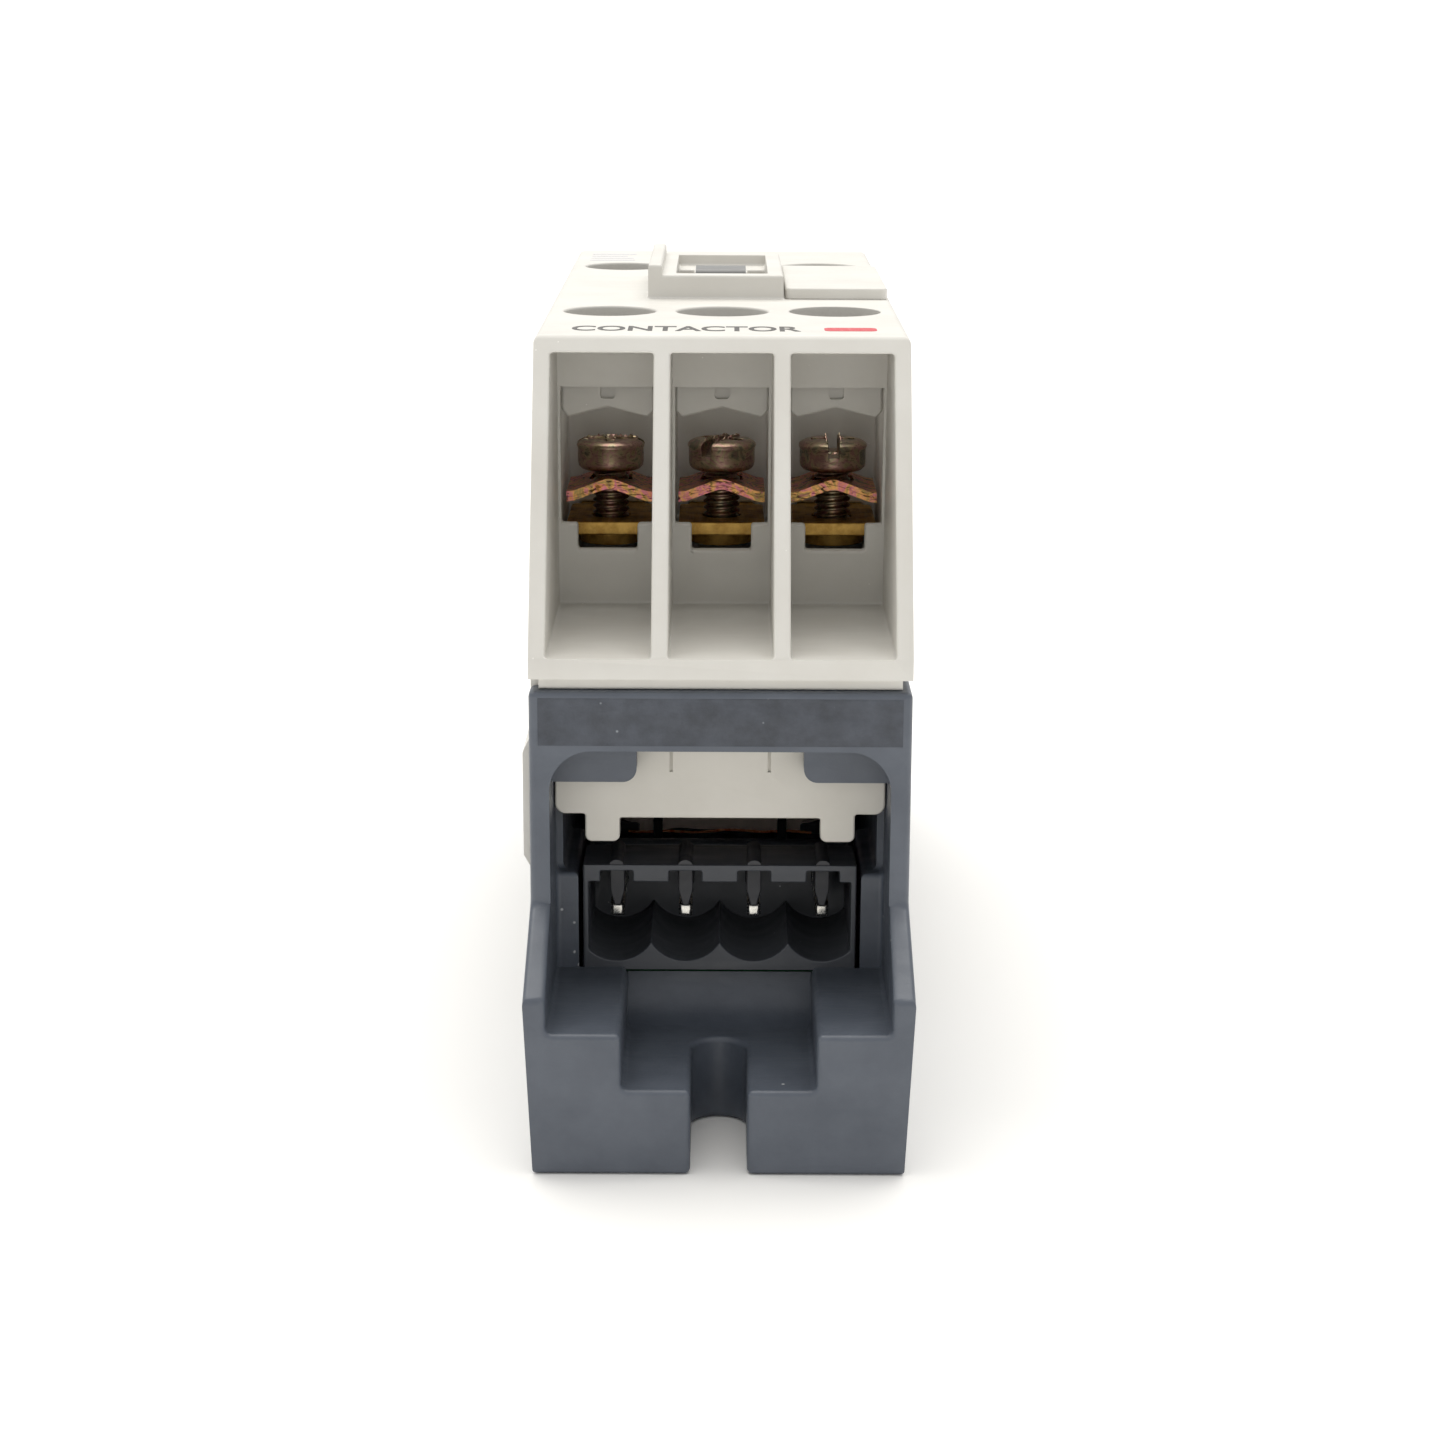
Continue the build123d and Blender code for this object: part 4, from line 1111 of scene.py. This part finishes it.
@dataclass
class Clamp:
    """One terminal: strap, roof-shaped saddle and clamp screw."""

    number: int
    end: End
    turn: float
    axis_y: float = 17.5
    head_radius: float = 2.65
    head_z: Point = (44.8, 47.2)
    shank_radius: float = 1.42
    shank_tip: float = 38.9
    pitch: float = 0.5
    slot_half: float = 0.42
    slot_depth: float = 1.15
    burr_steps: int = 22
    thread_depth: float = 0.28
    thread_steps: int = 32
    saddle_half: float = 3.3
    saddle_low: float = 42.6
    saddle_rise: float = 1.28
    saddle_steps: int = 24

    @property
    def place(self) -> str:
        """The end's name as the CAD nodes give it."""
        return self.end.name.lower()

    @property
    def centre(self) -> Point:
        """The screw's axis in X and Y."""
        return POLES[self.number - 1], self.end.value * self.axis_y

    def burr(self, side: int, rng: random.Random) -> Mesh:
        """The curl of metal that the driver has raised along one edge of the slot."""
        reach = math.sqrt((self.head_radius - 0.5) ** 2 - self.slot_half ** 2)
        y, z = side * self.slot_half, self.head_z[1] - 0.03
        rings = []
        for i in range(self.burr_steps + 1):
            x = -reach + 2 * reach * i / self.burr_steps
            fade = min(1.0, i / 3, (self.burr_steps - i) / 3)
            top = z + fade * rng.choice((0.02, 0.05, 0.12, 0.2, 0.26)) + 0.004
            tip = y + side * rng.uniform(0.02, 0.1)
            foot, crest = (y, y + side * 0.16), (tip + side * 0.09, tip + side * 0.02)
            rings.append([(x, foot[0], z), (x, foot[1], z), (x, crest[0], top), (x, crest[1], top)])
        return loft(rings)

    def head(self) -> Piece:
        """The screw's cheese head, with a rolled rim, slot, cross and raised burrs."""
        radius, (low, high) = self.head_radius, self.head_z
        profile = [
            (radius - 0.62, low), (radius - 0.34, low + 0.1), (radius - 0.16, low + 0.3),
            (radius - 0.1, low + 0.6), (radius - 0.1, high - 0.72), (radius - 0.03, high - 0.6),
            (radius, high - 0.5), (radius - 0.02, high - 0.38), (radius - 0.12, high - 0.26),
            (radius - 0.42, high - 0.1), (radius - 0.85, high - 0.02), (1.0, high),
        ]
        piece = piece_from(lathe(profile, 96), f"{self.place}_screw_{self.number}_head")
        half, reach = self.slot_half, radius + 1
        slot = prism(upright_box((-reach, reach), (high - self.slot_depth, high + 1)), (-half, half))
        cross = bmesh.new()
        bmesh.ops.create_cone(
            cross, segments=4, radius1=0.5, radius2=1.2, depth=1.9, cap_ends=True,
            matrix=Matrix.Translation((0, 0, high - 0.7)),
        )
        wing = prism(
            [(-0.42, high + 1), (-0.34, high - 1.3), (0.34, high - 1.3), (0.42, high + 1)], (-1.7, 1.7),
        )
        cut(piece, (slot, cross, wing))
        rng = random.Random(self.number * 10 + self.end.value)
        for side in (-1, 1):
            self.join(piece, piece_from(self.burr(side, rng), "burr", 20))
        return piece

    def shank(self) -> Piece:
        """The threaded shank, with a rolled thread that runs out at a dog point."""
        steps, depth = self.thread_steps, self.thread_depth
        low, high = self.shank_tip, self.head_z[0] + 0.2
        count = int((high - low - 1.0) / self.pitch * steps)
        root = self.shank_radius - depth
        rings = []
        for i in range(count + 1):
            a = 2 * math.pi * i / steps
            z = low + 0.5 + self.pitch * i / steps
            crest = root + depth * min(1.0, i / steps, (count - i) / steps)
            inside = root - 0.15
            shape = [(inside, 0.02), (root, 0.02), (crest, 0.2), (crest, 0.28), (root, 0.46), (inside, 0.46)]
            rings.append([(*polar(r, a), z + dz) for r, dz in shape])
        thread = piece_from(loft(rings), f"{self.place}_screw_{self.number}_thread", 25)
        core = lathe([(0.9, low), (1.08, low + 0.25), (1.17, low + 0.6), (1.17, high)], 32)
        self.join(thread, piece_from(core, f"{self.place}_screw_{self.number}_shank"))
        return thread

    @staticmethod
    def join(keep: Piece, other: Piece) -> None:
        """Join another piece's mesh into the first, and drop the other."""
        bm = bmesh.new()
        bm.from_mesh(keep.data)
        bm.from_mesh(other.data)
        bm.to_mesh(keep.data)
        bm.free()
        drop(other)

    def screw(self) -> None:
        """Assemble and place the screw."""
        head = self.head()
        self.join(head, self.shank())
        x, y = self.centre
        spin = Matrix.Rotation(math.radians(self.turn), 4, "Z")
        head.data.transform(Matrix.Translation((x * MM, y * MM, 0)) @ spin)
        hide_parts(f"{self.place}_screw_{self.number}")
        finish_piece(head, f"{self.place}_screw_body_{self.number}", ZINC_SCREW)

    def leaf(self, low: float, rise: float, thick: float, half_y: float, name: str) -> Piece:
        """One bent leaf of the saddle, roof-shaped across the pole."""
        half = self.saddle_half
        under, over = [], []
        for i in range(self.saddle_steps + 1):
            s = -1 + 2 * i / self.saddle_steps
            roof = 1 - math.sqrt(s * s + 0.012) / math.sqrt(1.012)
            lip = 0.16 * max(0.0, abs(s) - 0.82) / 0.18
            z = low + rise * roof + lip
            under.append((half * s, z))
            over.append((half * s, z + thick))
        bm = prism(under + over[::-1], (-half_y, half_y))
        piece = piece_from(bm, name, 30)
        hole = bmesh.new()
        bmesh.ops.create_cone(
            hole, segments=40, radius1=1.7, radius2=1.7, depth=8, cap_ends=True,
            matrix=Matrix.Translation((0, 0, low)),
        )
        cut(piece, (hole,))
        return piece

    def saddle(self) -> None:
        """The saddle: an upper leaf nested on a lower one, both in the one pink and copper zinc finish."""
        x, y = self.centre
        name = f"{self.place}_saddle_{self.number}"
        upper = self.leaf(self.saddle_low + 0.36, self.saddle_rise, 0.42, 3.25, f"{name}_upper")
        lower = self.leaf(self.saddle_low, self.saddle_rise, 0.34, 3.28, f"{name}_lower")
        self.join(upper, lower)
        upper.name = f"{name}_leaves"
        upper.data.transform(Matrix.Translation((x * MM, y * MM, 0)))
        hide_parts(name)
        finish_piece(upper, f"{self.place}_clamp_{self.number}", ZINC_SADDLE)

    def build(self) -> None:
        """Make and dress the whole terminal."""
        strap = f"{self.place}_strap_{self.number}"
        dress_copy(strap, f"{strap}_strip", (0.12,), "frame", BRASS_STRAP)
        self.saddle()
        self.screw()


@dataclass
class Markings:
    """Generic prints on the front face: the device's plain name, a red bar and faint rows."""

    face_z: float = 57.0
    ink: float = 0.02
    sunk: float = 0.002
    name_place: Point = (-2.7, -29.2)
    name_height: float = 2.9
    name_span: float = 16.6
    bar_x: Point = (7.4, 11.2)
    bar_y: Point = (-30.2, -28.2)
    row_x: Point = (-12.0, -7.2)
    row_y: float = 22.2
    row_count: int = 4
    row_pitch: float = 1.9
    row_deep: float = 0.9

    def name(self) -> None:
        """Print what the device is, in plain capitals."""
        curve = bpy.data.curves.new("name_print", "FONT")
        curve.body = "CONTACTOR"
        curve.align_x = "CENTER"
        curve.align_y = "CENTER"
        curve.extrude = 0.5
        curve.offset = 0.02
        maker = placed("name_maker", curve)
        bpy.context.view_layer.update()
        view = bpy.context.evaluated_depsgraph_get()
        mesh = bpy.data.meshes.new_from_object(maker.evaluated_get(view))
        bpy.data.objects.remove(maker)
        size = [max(v.co[k] for v in mesh.vertices) - min(v.co[k] for v in mesh.vertices) for k in (0, 1)]
        scale = (self.name_span / size[0] * MM, self.name_height / size[1] * MM, self.ink * MM, 1)
        place = Vector((*self.name_place, self.face_z + self.ink / 2 - self.sunk)) * MM
        mesh.transform(Matrix.Translation(place) @ Matrix.Diagonal(scale))
        finish_piece(placed("name_print", mesh), "frame", INK_DARK)

    def bar(self, name: str, x: Point, y: Point, radius: float, ink: Finish) -> None:
        """Print one round-cornered bar over a range in X and in Y."""
        outline = [(px, py, self.face_z - self.sunk) for px, py in soft_box(x, y, radius, 6)]
        bm = sweep(outline, (0, 0, self.ink))
        finish_piece(piece_from(bm, name), "frame", ink)

    def build(self) -> None:
        """Print every mark."""
        self.name()
        self.bar("red_bar_print", self.bar_x, self.bar_y, 0.5, INK_RED)
        rng = random.Random(11)
        for row in range(self.row_count):
            y = self.row_y + row * self.row_pitch
            end = self.row_x[1] - rng.uniform(0.0, 1.6)
            self.bar(f"faint_row_print_{row + 1}", (self.row_x[0], end), (y, y + self.row_deep), 0.25, INK_PALE)


@dataclass
class RailClip:
    """The sliding clip that grips the rail."""

    def build(self) -> None:
        """Make and dress the clip."""
        dress_copy("din_clip", "din_clip_moulding", (0.2,), "rail_clip", CLIP_POM)


# ---- studio ----


@dataclass
class Studio:
    """A plain pale floor, soft lights and the camera."""

    focal: float = 69.33
    sensor: float = 36.0
    pitch: float = 14.84
    roll: float = 0.27
    distance: float = 181.5
    height: float = 81.1
    shift: float = 0.0014
    foot_y: float = -50.0
    surround: float = 0.66
    sun: float = 2.9
    sun_width: float = 70.0
    sun_lean: Point = (-20.0, -3.0)
    floor_half: float = 40000.0
    floor_drop: float = 0.02

    def floor(self) -> None:
        """A white sweep-like floor that the object stands on."""
        bm = bmesh.new()
        bmesh.ops.create_grid(bm, x_segments=24, y_segments=24, size=self.floor_half)
        plane = piece_from(bm, "studio_floor")
        plane.location.z = -self.floor_drop * MM
        FLOOR_LAMINATE.dress(plane)

    def light(self) -> None:
        """One very wide, soft light from far overhead, leaning from behind the object."""
        data = bpy.data.lights.new("overhead light", "SUN")
        data.energy = self.sun
        data.angle = math.radians(self.sun_width)
        data.color = linear("#FFFDF8")[:3]
        placed("overhead light", data).rotation_euler = [math.radians(lean) for lean in (*self.sun_lean, 0)]

    def world(self) -> None:
        """An even white surround."""
        world = bpy.data.worlds.new("white surround")
        world.use_nodes = True
        sky = world.node_tree.nodes["Background"]
        sky.inputs["Color"].default_value = linear("#FFFFFF")
        sky.inputs["Strength"].default_value = self.surround
        bpy.context.scene.world = world

    def camera(self) -> None:
        """The camera in front of the line end, looking slightly down."""
        data = bpy.data.cameras.new("camera")
        data.lens = self.focal
        data.sensor_width = self.sensor
        data.shift_x = self.shift
        data.clip_start = 0.01
        data.clip_end = 20.0
        camera = placed("camera", data)
        spot = Matrix.Translation((0, (self.foot_y - self.distance) * MM, self.height * MM))
        tilt = Matrix.Rotation(math.radians(90 - self.pitch), 4, "X")
        roll = Matrix.Rotation(math.radians(self.roll), 4, "Z")
        camera.matrix_world = spot @ tilt @ roll
        bpy.context.scene.camera = camera

    def build(self) -> None:
        """Set up the studio."""
        self.floor()
        self.world()
        self.light()
        self.camera()
        bpy.context.scene.view_settings.view_transform = "Standard"


def main() -> None:
    """Build the contactor's looks in order."""
    logging.basicConfig(level=logging.INFO, format="%(name)s %(message)s")
    Studio().build()
    Housings().build()
    Connector().build()
    Coil().build()
    Magnet().build()
    ContactSystem().build()
    turns = {End.LINE: (0, 62, 90), End.LOAD: (25, 110, 75)}
    for end in End:
        for number in (1, 2, 3):
            Clamp(number, end, turns[end][number - 1]).build()
    Markings().build()
    RailClip().build()


if __name__ == "__main__":
    main()
